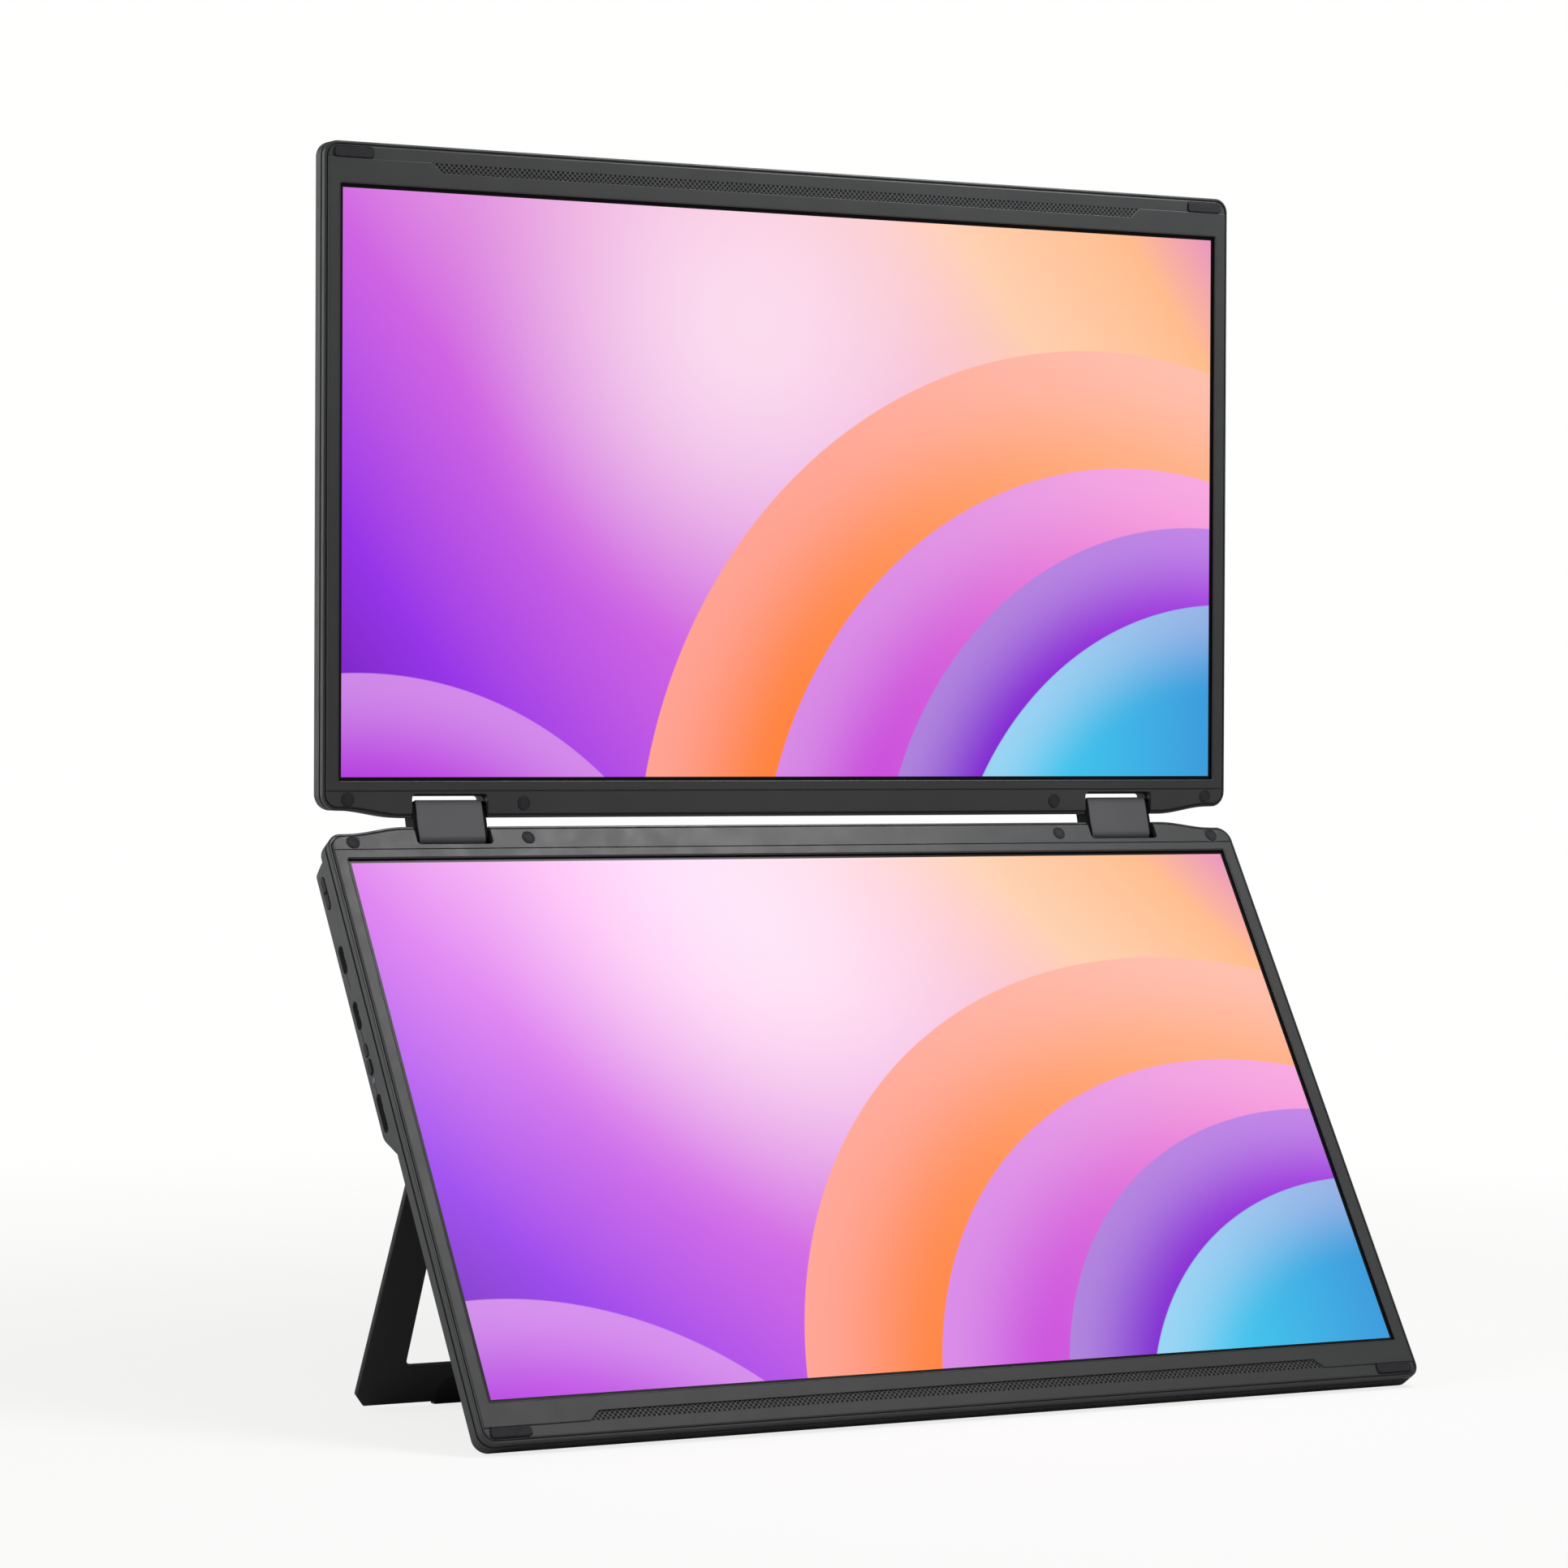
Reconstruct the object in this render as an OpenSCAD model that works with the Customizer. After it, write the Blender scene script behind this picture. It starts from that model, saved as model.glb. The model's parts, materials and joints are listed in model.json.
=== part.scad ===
// Stacked dual-screen extender: two slim displays joined by a pair of
// two-axle friction hinges, with a folding stand on the back of the lower one.
//
// Each display is drawn lying on its back in its own frame: x runs along the
// hinge, y from the hinge edge to the far edge, z from the back to the front.
// The two displays, the links and the stand are then set in the rest pose with
// +Z up, the screens facing -Y and the origin on the desk, mid-way in x and y.

/* [Screen] */
// Width of the picture area
screen_w = 344.2; // [340:0.1:348]
// Height of the picture area
screen_h = 193.6; // [191:0.1:196]
// Depth of the glass below the face of the surround
screen_recess = 1.1; // [0.9:0.1:1.3]

/* [Display] */
// Thickness of a display without its back box
panel_t = 9.0; // [8.8:0.1:9.4]
// Border beside the picture, left and right
side_border = 6.6; // [6.4:0.1:8]
// Border between the picture and the hinge edge
hinge_border = 13.3; // [13.3:0.1:14]
// Border between the picture and the far edge
far_border = 14.9; // [14.5:0.1:16]
// Corner radius beside the hinge edge
near_r = 5.5; // [5:0.5:9]
// Corner radius at the far edge
far_r = 5; // [4.5:0.5:8]
// Wall thickness of the back covers
wall_t = 1.4; // [1.3:0.1:1.6]
// Floor thickness of the back covers
floor_t = 1.2; // [1.1:0.1:1.2]

/* [Back box] */
// Depth of the electronics box behind the lower display
box_t = 6.0; // [5.8:0.1:7]
// Distance from the hinge edge to the flat of the box, far side
box_end = 108.5; // [108:0.5:109]
// Distance from the hinge edge to the foot of the box's slope
box_foot = 116.4; // [116:0.1:117]

/* [Hinges] */
// Distance between the two axles of a hinge
axle_gap = 10.0; // [10:0.1:10.5]
// Distance from the hinge edge to the axle
axle_inset = 2.6; // [2.6:0.1:2.7]
// Axle radius
axle_r = 1.5; // [1.3:0.05:1.5]
// Running clearance on the axle's radius
run_gap = 0.05; // [0.02:0.01:0.1]
// Distance of a hinge's middle from the middle of the display
hinge_x = 132.5; // [130:0.5:134]
// Length of a hinge block along the axles
block_w = 24.4; // [23:0.1:25]
// Width of the notch that a hinge block turns in
notch_w = 28; // [28:0.1:29]

/* [Pose] */
// Backward lean of the upper display
lean_upper = 1.0; // [0:0.1:4]
// Backward lean of the lower display
lean_lower = 33.3; // [31:0.1:36]

/* [Stand] */
// Length of the stand from its pin to the lower edge of its frame
stand_len = 94.4; // [93:0.1:98]
// Plate thickness of the stand
stand_t = 2.5; // [2:0.1:2.6]
// Half of the stand's width at its foot
stand_half_w = 173; // [172:0.5:175]
// Width of the stand's side legs
leg_w = 15; // [12:0.5:20]
// Height of the stand's lower bar
bar_h = 14.2; // [12:0.1:18]

/* [Side controls] */
// Travel of the power key
key_travel = 0.5; // [0.3:0.1:0.6]
// Height of a socket cut-out across the side wall
socket_h = 3.3; // [3.2:0.1:3.6]

/* [Hidden] */
$fn = 48;
eps = 0.01;

// Display outline
panel_w = screen_w + 2 * side_border;
panel_h = hinge_border + screen_h + far_border;
half_w = panel_w / 2;
screen_far = hinge_border + screen_h;
shoulder_in = 150;                       // where the hinge edge starts to fall back
shoulder_out = half_w - 7;               // where it has fallen back
shoulder_drop = 2.5;
curve_steps = 8;
edge_r = 2;                              // rounding of the back edge

// Layers of a display, from the back
rear_rim = 5.35;                         // top of the back cover
groove_top = 6.25;                       // underside of the middle frame's flange
frame_top = panel_t - 1.0;               // seat of the front surround
rim_top = panel_t - 0.55;                // rim of the middle frame
rim_w = 0.8;
pocket_near = 0.42;                      // near end of the pockets for the hinge brackets' ears
surround_inset = 1.2;
glass_front = panel_t - screen_recess;
glass_t = 1.1;
light_z = 3.6;                           // back of the backlight
light_t = glass_front - glass_t - light_z - 0.1;
groove_in = 0.9;                         // depth of the dark groove round the side
lip_in = wall_t + 0.1;

// Opening for the display module in the middle frame
module_half_w = half_w - 4.3;
module_near = 8.7;
module_far = screen_far + 2.8;
module_gap = 0.35;

// Front surround
window_margin = 1.1;
step_drop = 0.35;                        // the outer band lies this much lower
step_in = 6.2;                           // picture edge to the grille side of the step
step_out = 9.4;                          // picture edge to the outer side of the step
grille_in = 136.5;
grille_out = 140;
grille_t = 0.4;
near_line = 4.3;                         // picture edge to the fine line beside the hinges
line_w = 0.5;
line_d = 0.3;
pad_size = [14.2, 3.6];
pad_at = [168.3, 11.3];                  // from the middle, and beyond the picture
pad_proud = 0.35;
plug_r = 2.3;
plug_proud = 0.25;
plug_at = [[169.8, 6.2], [105.2, 4.9]];  // from the middle, and from the hinge edge

// Notches for the hinge blocks
notch_d = 7.2;
notch_d_front_upper = 8.0;
notch_d_front_lower = 7.2;
notch_corner_r = 1.5;

// Hinge pieces
axle_z = panel_t / 2;
ear_t = 2.0;
ear_r = 2.1;
ear_clear = 0.1;
arm_w = 3.0;
leaf_z = floor_t + 0.1;
leaf_t = 1.2;
leaf_near = 9.0;
leaf_len = 25;
leaf_w = 40;
core_r = 2.9;                            // radius of the link's round ends
cap_r = 3.6;                             // radius of the covers' round ends
cap_end_t = 0.8;
cap_split_front = 0.6;
cap_split_rear = -1.8;
cap_top_r = 4.3;                         // turning radius of the cover's square end
cap_top = 2.5;
neck_r = 2.2;                            // necks of the link in the covers' end walls
neck_gap = 0.2;
plate_r = 3.0;                           // round ends of the link's outer plates
plate_t = 1.2;
washer_r = 2.0;

// Small screws
screw_r = 0.95;
screw_head_r = 1.8;
screw_head_t = 0.8;
screw_hole_r = 1.0;
boss_r = 2.2;

// Boards that drive the panels
driver_size = [140, 14];
driver_t = 1.0;
driver_chip = [12, 6, 0.8];
driver_chips_x = [-45, 0, 45];
driver_y_upper = 16;
driver_y_lower = 126;

// Pose
tilt_each = (lean_lower - lean_upper) / 2;
lean_link = (lean_lower + lean_upper) / 2;

// Stand
stand_y = 113.4;                         // pin, from the hinge edge
stand_z = -3.4;                          // pin, behind the back of the display
stand_face = stand_t - 0.1;              // face of the plate, towards the display
stand_root = 2.6;                        // start of the plate, from the pin
stand_top_half_w = 170.5;
stand_window_top = 24;
stand_corner = [3.4, 4.2];
stand_pin_r = 1.0;
knuckle_r = 2.3;
stand_hinge_x = 138;
knuckle_w = 18.2;
stand_ear_gap = 0.4;
stand_ear_t = 2.0;
stand_ear_r = 2.2;
stand_base_t = 0.7;
stand_pocket_w = 26;
stand_pocket_y = [110.4, 122];
stand_base_y = [110.8, 119];
stand_screw_at = [7, 116.9];             // from the bracket's middle, and from the hinge edge
foot_lift = 0.7;                         // plate's lower edge above the desk
foot_pad_x = [84, 144];
foot_pad_h = 9;
foot_pad_proud = 0.3;
foot_pad_r = 5;

// Left side of the lower display: distances from the hinge edge
side_z = -1.5;                           // middle line of the sockets and keys
rocker_y = [13.4, 25.4];
socket_a_y = [39.4, 49.5];
socket_b_y = [60.1, 70.2];
key_y = [75.6, 80.4];
lever_y = [81.2, 86.8];
lens_y = 88.8;
video_y = [94.0, 107.7];
key_h = 2.8;
key_gap = 0.25;
lens_r = 1.15;
board_top = side_z - socket_h / 2 - 0.1;
board_t = 1.2;
box_in = wall_t + 0.1;
box_near = 8.6;                          // start of the box at the back cover
speaker_at = [62, 52];
speaker_size = [52, 20];
speaker_cone = [40, 14];
speaker_slot = [1.6, 14];
speaker_pitch = 5;
switch_in = 3.6;                         // side face to the switches behind the keys
pivot_in = 2.1;                          // side face to the pivots of the rocker and the lever
pivot_r = 0.5;
pivot_h = 3.3;
switch_size = [2.6, 3.2];                // along the travel, and along the side
switch_y = [rocker_y[0] + 2.4, rocker_y[1] - 2.4,
            (key_y[0] + key_y[1]) / 2, (lever_y[0] + lever_y[1]) / 2];

// Rings of the back cover's rounded edge: height and inset
edge_rings = [for (a = [90 : -22.5 : 0]) [edge_r - edge_r * sin(a), edge_r - edge_r * cos(a)]];

// Where the displays stand: heights over the desk and places in depth
function lower_height(y, z) = -(y - axle_inset) * cos(lean_lower) + (z - axle_z) * sin(lean_lower);
function lower_depth(y, z) = -(y - axle_inset) * sin(lean_lower) - (z - axle_z) * cos(lean_lower);
function upper_depth(y, z) = axle_gap * sin(lean_link) + (y - axle_inset) * sin(lean_upper)
    - (z - axle_z) * cos(lean_upper);
lower_axle_z = -min([for (r = edge_rings) lower_height(panel_h - r[1], r[0])]);
front_reach = min(lower_depth(panel_h, rim_top), lower_depth(panel_h - surround_inset, panel_t));
rear_reach = max([for (r = edge_rings) upper_depth(panel_h - r[1], r[0])]);
lower_axle_y = -(front_reach + rear_reach) / 2;

// Angle between the stand and the back of the display that sets its foot on the desk
pin_height = lower_axle_z + lower_height(stand_y, stand_z);
foot_reach = norm([stand_len, stand_face]);
stand_lean = atan(stand_face / stand_len) + acos((pin_height - foot_lift) / foot_reach);
stand_open = lean_lower + stand_lean;

// Finishes
graphite = [0.24, 0.25, 0.26];
graphite_dark = [0.15, 0.155, 0.16];
black_plastic = [0.06, 0.06, 0.065];
rubber_grey = [0.13, 0.13, 0.14];
steel = [0.62, 0.63, 0.64];
board_green = [0.05, 0.25, 0.16];
gold = [0.75, 0.6, 0.25];

// ---------------------------------------------------------------- placing

module place_lower() {
    translate([0, lower_axle_y, lower_axle_z]) rotate([90 - lean_lower, 0, 0]) mirror([0, 1, 0])
        translate([0, -axle_inset, -axle_z]) children();
}

module place_upper() {
    translate([0, lower_axle_y + axle_gap * sin(lean_link), lower_axle_z + axle_gap * cos(lean_link)])
        rotate([90 - lean_upper, 0, 0]) translate([0, -axle_inset, -axle_z]) children();
}

// Link frame: origin mid-way between the axles, y up the link, z to the front
module place_link() {
    translate([0, lower_axle_y, lower_axle_z]) rotate([90 - lean_link, 0, 0])
        translate([0, axle_gap / 2, 0]) children();
}

// Stand frame: origin on the pins, y down the plate, z towards the display
module place_stand() {
    place_lower() translate([0, stand_y, stand_z]) rotate([-stand_open, 0, 0]) children();
}

// ---------------------------------------------------------------- outlines

function arc(cx, cy, r, a0, a1, n) =
    [for (i = [0 : n]) [cx + r * cos(a0 + (a1 - a0) * i / n), cy + r * sin(a0 + (a1 - a0) * i / n)]];

function shoulder(inset) = [for (i = [0 : curve_steps]) let (t = i / curve_steps)
    [shoulder_in + (shoulder_out - shoulder_in) * t - near_r * t * 0.15,
     inset + shoulder_drop * t * t * (3 - 2 * t)]];

function half_outline(inset) = concat(
    shoulder(inset),
    arc(half_w - near_r, shoulder_drop + near_r, near_r - inset, -90 + 90 / curve_steps, 0, curve_steps - 1),
    arc(half_w - far_r, panel_h - far_r, far_r - inset, 0, 90, curve_steps));

function outline(inset) = let (h = half_outline(inset), n = len(h))
    concat(h, [for (i = [n - 1 : -1 : 0]) [-h[i][0], h[i][1]]]);

function round_box(x, y0, y1, r) = concat(
    arc(x - r, y0 + r, r, -90, 0, 4), arc(x - r, y1 - r, r, 0, 90, 4),
    arc(-x + r, y1 - r, r, 90, 180, 4), arc(-x + r, y0 + r, r, 180, 270, 4));

// Solid through rings of points: each ring is [height, points], lowest first
module loft(rings) {
    n = len(rings[0][1]);
    m = len(rings);
    points = [for (r = rings) for (p = r[1]) [p[0], p[1], r[0]]];
    sides = [for (k = [0 : m - 2]) for (j = [0 : n - 1]) let (i = (j + 1) % n)
        [k * n + j, (k + 1) * n + j, (k + 1) * n + i, k * n + i]];
    bottom = [for (j = [0 : n - 1]) j];
    top = [for (j = [n - 1 : -1 : 0]) (m - 1) * n + j];
    polyhedron(points = points, faces = concat(sides, [bottom, top]), convexity = 6);
}

module slab(z0, z1, inset) {
    translate([0, 0, z0]) linear_extrude(z1 - z0) polygon(outline(inset));
}

module block_between(a, b) {
    translate(a) cube(b - a);
}

module rounded_rect(size, r) {
    translate([-size[0] / 2 + r, -size[1] / 2]) square([size[0] - 2 * r, size[1]]);
    translate([-size[0] / 2, -size[1] / 2 + r]) square([size[0], size[1] - 2 * r]);
    for (sx = [-1, 1], sy = [-1, 1])
        translate([sx * (size[0] / 2 - r), sy * (size[1] / 2 - r)]) circle(r);
}

// Extrudes a drawing in the y-z plane along x, from x0 to x1
module along_x(x0, x1) {
    translate([x0, 0, 0]) rotate([90, 0, 90]) linear_extrude(x1 - x0) children();
}

// ---------------------------------------------------------------- cuts shared by the display layers

module notches(depth, z0, z1) {
    for (s = [-1, 1]) translate([s * hinge_x, 0, z0]) linear_extrude(z1 - z0) {
        translate([-notch_w / 2, -5]) square([notch_w, depth + 5 - notch_corner_r]);
        translate([-notch_w / 2 + notch_corner_r, -5])
            square([notch_w - 2 * notch_corner_r, depth + 5]);
        for (k = [-1, 1]) translate([k * (notch_w / 2 - notch_corner_r), depth - notch_corner_r])
            circle(notch_corner_r);
    }
}

// Room for the ears and arms of the hinge brackets
module ear_pockets() {
    for (s = [-1, 1], k = [-1, 1]) translate([s * hinge_x + k * notch_w / 2, 0, 0]) scale([k, 1, 1]) {
        block_between([-1, pocket_near, floor_t], [arm_w + 0.3, 5.2, 6.9]);
        block_between([-1, pocket_near, floor_t],
                      [arm_w + 0.3, leaf_near + 0.2, leaf_z + leaf_t + 0.2]);
    }
}

module at_plugs() {
    for (s = [-1, 1], p = plug_at) translate([s * p[0], p[1], 0]) children();
}

// ---------------------------------------------------------------- display pieces

module rear_tray() {
    rim_rings = [for (r = edge_rings) [r[0], outline(r[1])]];
    difference() {
        loft(concat(rim_rings, [[rear_rim, outline(0)]]));
        slab(floor_t, panel_t, wall_t);
    }
}

// Walls round the hinge notches and bosses for the surround screws
module tray_fittings() {
    for (s = [-1, 1]) block_between(
        [s * hinge_x - notch_w / 2 - wall_t, 1, floor_t - 0.2],
        [s * hinge_x + notch_w / 2 + wall_t, notch_d + wall_t, rear_rim]);
    at_plugs() translate([0, 0, floor_t - 0.2]) cylinder(r = boss_r, h = rear_rim - floor_t + 0.05);
}

module tray_cuts(depth) {
    notches(depth, -box_t - 1, panel_t);
    ear_pockets();
    at_plugs() translate([0, 0, floor_t + 0.4]) cylinder(r = screw_hole_r, h = panel_t);
    bracket_screw_places() translate([0, 0, 0.3]) cylinder(r = screw_hole_r, h = floor_t);
}

module bracket_screw_places() {
    for (s = [-1, 1]) bracket_screw_side(s) children();
}

module bracket_screw_side(s) {
    for (dx = [-1, 1], y = [leaf_near + 5, leaf_near + leaf_len - 5])
        translate([s * hinge_x + dx * (leaf_w / 2 - 5), y, 0]) children();
}

module upper_rear_cover() {
    color(graphite) place_upper() difference() {
        union() {
            rear_tray();
            tray_fittings();
        }
        tray_cuts(notch_d);
    }
}

// Ring that closes the side, carries the display module and holds the surround
module middle_frame(front_depth) {
    difference() {
        union() {
            slab(groove_top, frame_top, 0);
            slab(rear_rim, groove_top, groove_in);
            slab(rear_rim - 1.2, rear_rim, lip_in);
            difference() {
                slab(frame_top, rim_top, 0);
                slab(frame_top - 1, rim_top + 1, rim_w);
            }
        }
        block_between([-module_half_w, module_near, 0], [module_half_w, module_far, panel_t + 1]);
        // the lip is a narrow ring inside the back cover's wall, open at the hinges
        difference() {
            slab(rear_rim - 2, rear_rim, 0);
            difference() {
                slab(rear_rim - 2, rear_rim, lip_in);
                slab(rear_rim - 3, rear_rim + 1, lip_in + 1.2);
            }
        }
        for (s = [-1, 1]) block_between(
            [s * hinge_x - notch_w / 2 - 4, -1, 0],
            [s * hinge_x + notch_w / 2 + 4, module_near + 1, rear_rim]);
        at_plugs() cylinder(r = boss_r + 0.2, h = rear_rim + eps);
        notches(notch_d, 0, groove_top + eps);
        notches(front_depth, groove_top, panel_t + 1);
        ear_pockets();
        at_plugs() cylinder(r = screw_hole_r + 0.15, h = panel_t);
        at_plugs() translate([0, 0, frame_top - 1]) cylinder(r = screw_head_r + 0.2, h = 2);
    }
}

module upper_middle_frame() {
    color(graphite) place_upper() middle_frame(notch_d_front_upper);
}

// Drawing of the band that lies beyond the step at the far edge
module far_band_2d(inner) {
    y_in = screen_far + step_in;
    y_out = screen_far + step_out;
    polygon([[-half_w, y_out], [-grille_out, y_out], [-grille_in, y_in], [grille_in, y_in],
             [grille_out, y_out], [half_w, y_out], [half_w, panel_h - inner], [-half_w, panel_h - inner]]);
}

module grille_2d(clear) {
    y_in = screen_far + step_in + clear;
    y_out = screen_far + step_out;
    polygon([[-grille_in + clear, y_in], [grille_in - clear, y_in],
             [grille_out - clear, y_out], [-grille_out + clear, y_out]]);
}

module at_pads() {
    for (s = [-1, 1]) translate([s * pad_at[0], screen_far + pad_at[1], 0]) children();
}

module surround(front_depth) {
    difference() {
        slab(frame_top, panel_t, surround_inset);
        translate([0, hinge_border + screen_h / 2, frame_top - 1]) linear_extrude(3)
            rounded_rect([screen_w + 2 * window_margin, screen_h + 2 * window_margin], 0.6);
        translate([0, 0, panel_t - step_drop]) linear_extrude(1) far_band_2d(0);
        translate([0, 0, panel_t - step_drop - grille_t]) linear_extrude(1) grille_2d(0);
        at_pads() translate([0, 0, frame_top + 0.3]) linear_extrude(1) rounded_rect(pad_size, 1.2);
        at_plugs() translate([0, 0, frame_top - 1]) cylinder(r = plug_r + 0.05, h = 3);
        block_between([-half_w, hinge_border - near_line - line_w / 2, panel_t - line_d],
                      [half_w, hinge_border - near_line + line_w / 2, panel_t + 1]);
        notches(front_depth, frame_top - 1, panel_t + 1);
    }
}

module upper_surround() {
    color(graphite) place_upper() surround(notch_d_front_upper);
}

module glass() {
    block_between([-module_half_w + module_gap, module_near + module_gap, glass_front - glass_t],
                  [module_half_w - module_gap, module_far - module_gap, glass_front]);
}

module upper_glass() {
    color([0.45, 0.2, 0.75]) place_upper() glass();
}

// Light guide with its reflector tray, and the rail of lamps along one edge
module backlight() {
    g = module_gap + 0.1;
    block_between([-module_half_w + g, module_near + g, light_z],
                  [module_half_w - g, module_far - g, light_z + light_t]);
    block_between([-module_half_w + 20, module_near + g, light_z - 0.5],
                  [module_half_w - 20, module_near + 3.2, light_z]);
}

module upper_backlight() {
    color([0.85, 0.86, 0.88]) place_upper() backlight();
}

module grille_strip() {
    translate([0, 0, panel_t - step_drop - grille_t]) linear_extrude(grille_t - 0.05) grille_2d(0.05);
}

module upper_grille_strip() {
    color(graphite_dark) place_upper() grille_strip();
}

module corner_pads() {
    at_pads() translate([0, 0, frame_top + 0.3])
        linear_extrude(panel_t + pad_proud - frame_top - 0.3) rounded_rect(pad_size - [0.2, 0.2], 1.1);
}

module upper_corner_pads() {
    color(rubber_grey) place_upper() corner_pads();
}

module screw_plugs() {
    at_plugs() translate([0, 0, frame_top]) cylinder(r = plug_r, h = panel_t + plug_proud - frame_top);
}

module upper_screw_plugs() {
    color(rubber_grey) place_upper() screw_plugs();
}

module surround_screws() {
    at_plugs() {
        translate([0, 0, frame_top - 1]) cylinder(r = screw_head_r, h = screw_head_t);
        translate([0, 0, floor_t + 0.6]) cylinder(r = screw_r, h = frame_top - 1 - floor_t - 0.5);
    }
}

module upper_surround_screws() {
    color(steel) place_upper() surround_screws();
}

// Narrow board that drives the panel, behind the backlight
module driver_board(y) {
    z = floor_t + 0.1;
    block_between([-driver_size[0] / 2, y, z], [driver_size[0] / 2, y + driver_size[1], z + driver_t]);
    for (x = driver_chips_x)
        translate([x - driver_chip[0] / 2, y + (driver_size[1] - driver_chip[1]) / 2, z + driver_t])
            cube(driver_chip);
}

module upper_driver_board() {
    color(board_green) place_upper() driver_board(driver_y_upper);
}

// ---------------------------------------------------------------- hinge pieces

module at_ears(s) {
    for (k = [-1, 1]) translate([s * hinge_x + k * (notch_w / 2 + ear_clear), 0, 0]) scale([k, 1, 1])
        children();
}

// Steel leaf inside a display with two ears that hold the axle
module hinge_bracket(s) {
    difference() {
        union() {
            block_between([s * hinge_x - leaf_w / 2, leaf_near, leaf_z],
                          [s * hinge_x + leaf_w / 2, leaf_near + leaf_len, leaf_z + leaf_t]);
            at_ears(s) {
                block_between([0, axle_inset - ear_r, leaf_z], [arm_w, leaf_near + 1, leaf_z + leaf_t]);
                block_between([0, axle_inset - ear_r, leaf_z], [ear_t, axle_inset + ear_r, axle_z]);
                along_x(0, ear_t) translate([axle_inset, axle_z]) circle(ear_r);
            }
        }
        along_x(s * hinge_x - notch_w, s * hinge_x + notch_w) translate([axle_inset, axle_z])
            circle(axle_r + 0.02);
        bracket_screw_side(s) cylinder(r = screw_hole_r + 0.1, h = panel_t);
    }
}

module upper_hinge_bracket(s) {
    color(steel) place_upper() hinge_bracket(s);
}

module lower_hinge_bracket(s) {
    color(steel) place_lower() hinge_bracket(s);
}

module bracket_screws() {
    bracket_screw_places() {
        translate([0, 0, leaf_z + leaf_t]) cylinder(r = screw_head_r, h = screw_head_t);
        translate([0, 0, 0.35]) cylinder(r = screw_r, h = leaf_z + leaf_t - 0.35);
    }
}

module upper_bracket_screws() {
    color(steel) place_upper() bracket_screws();
}

module axle(s) {
    reach = notch_w / 2 + ear_clear + ear_t - 0.1;
    along_x(s * hinge_x - reach, s * hinge_x + reach) translate([axle_inset, axle_z]) circle(axle_r);
}

module upper_axle(s) {
    color(steel) place_upper() axle(s);
}

module lower_axle(s) {
    color(steel) place_lower() axle(s);
}

// Drawing of a link: a bar with round ends about both axles
module link_2d(r) {
    for (k = [-1, 1]) translate([k * axle_gap / 2, 0]) circle(r);
    translate([-axle_gap / 2, -r]) square([axle_gap, 2 * r]);
}

// Drawing of the block with its square upper front edge
module block_2d() {
    link_2d(cap_r);
    intersection() {
        square([axle_gap / 2 + cap_top, cap_r]);
        translate([axle_gap / 2, 0]) circle(cap_top_r);
    }
    translate([-axle_gap / 2, 0]) square([axle_gap, cap_r]);
}

module axle_places() {
    for (k = [-1, 1]) translate([k * axle_gap / 2, 0]) children();
}

// Steel link: a bar inside the covers, a neck on each axle and a plate at each end
module hinge_link(s) {
    w = block_w / 2 - cap_end_t - 0.1;
    color(steel) place_link() difference() {
        union() {
            along_x(s * hinge_x - w, s * hinge_x + w) link_2d(core_r);
            for (e = [-1, 1]) translate([s * hinge_x, 0, 0]) scale([e, 1, 1]) {
                along_x(w - eps, block_w / 2 + 0.15) axle_places() circle(neck_r);
                along_x(block_w / 2 + 0.1, block_w / 2 + 0.1 + plate_t) link_2d(plate_r);
            }
        }
        along_x(s * hinge_x - block_w, s * hinge_x + block_w) axle_places() circle(axle_r + run_gap);
    }
}

// One of the two covers of a hinge block; keep_2d is the half-plane it fills
module hinge_cover(s) {
    w = block_w / 2;
    place_link() intersection() {
        difference() {
            along_x(s * hinge_x - w, s * hinge_x + w) block_2d();
            along_x(s * hinge_x - w + cap_end_t, s * hinge_x + w - cap_end_t) link_2d(core_r + 0.1);
            along_x(s * hinge_x - block_w, s * hinge_x + block_w) axle_places() circle(neck_r + neck_gap);
        }
        children();
    }
}

module hinge_front_cover(s) {
    color(graphite) hinge_cover(s) block_between([-half_w, -20, cap_split_front], [half_w, 20, 20]);
}

module hinge_back_cover(s) {
    color(black_plastic) hinge_cover(s) block_between([-half_w, -20, -20], [half_w, 20, cap_split_rear]);
}

// Washers between the links' plates and the bracket ears, one at each end of each axle
module hinge_washers() {
    x0 = block_w / 2 + 0.15 + plate_t;
    x1 = notch_w / 2 + ear_clear - 0.05;
    color([0.7, 0.6, 0.35]) place_link() for (s = [-1, 1], k = [-1, 1], e = [-1, 1])
        translate([s * hinge_x, 0, 0]) scale([e, 1, 1]) along_x(x0, x1)
            translate([k * axle_gap / 2, 0]) difference() {
                circle(washer_r);
                circle(axle_r + run_gap);
            }
}

// ---------------------------------------------------------------- lower display

// Outer form of the electronics box: full width, sloped above and below
module box_form() {
    slope = (box_foot - box_end) / box_t;
    // height, inset of the sides, near end and far end of each ring
    rings = [[-box_t, 1.9, box_near + 3.0, box_end - 1.2],
             [-box_t + 0.25, 0.9, box_near + 2.1, box_end - 0.2],
             [-box_t + 0.8, 0.3, box_near + 1.5, box_end + 0.8 * slope],
             [-box_t + 2.0, 0, box_near + 1.0, box_end + 2.0 * slope],
             [0, 0, box_near, box_foot],
             [edge_r, 0, box_near, box_foot]];
    loft([for (r = rings) [r[0], round_box(half_w - r[1], r[2], r[3], 1.5)]]);
}

module box_room() {
    difference() {
        block_between([-half_w + box_in, box_near + 2.9, -box_t + box_in],
                      [half_w - box_in, box_end - 1.2, floor_t + 1]);
        for (s = [-1, 1]) block_between([s * hinge_x - 24, 0, -0.6], [s * hinge_x + 24, 38, floor_t + 2]);
    }
}

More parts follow.
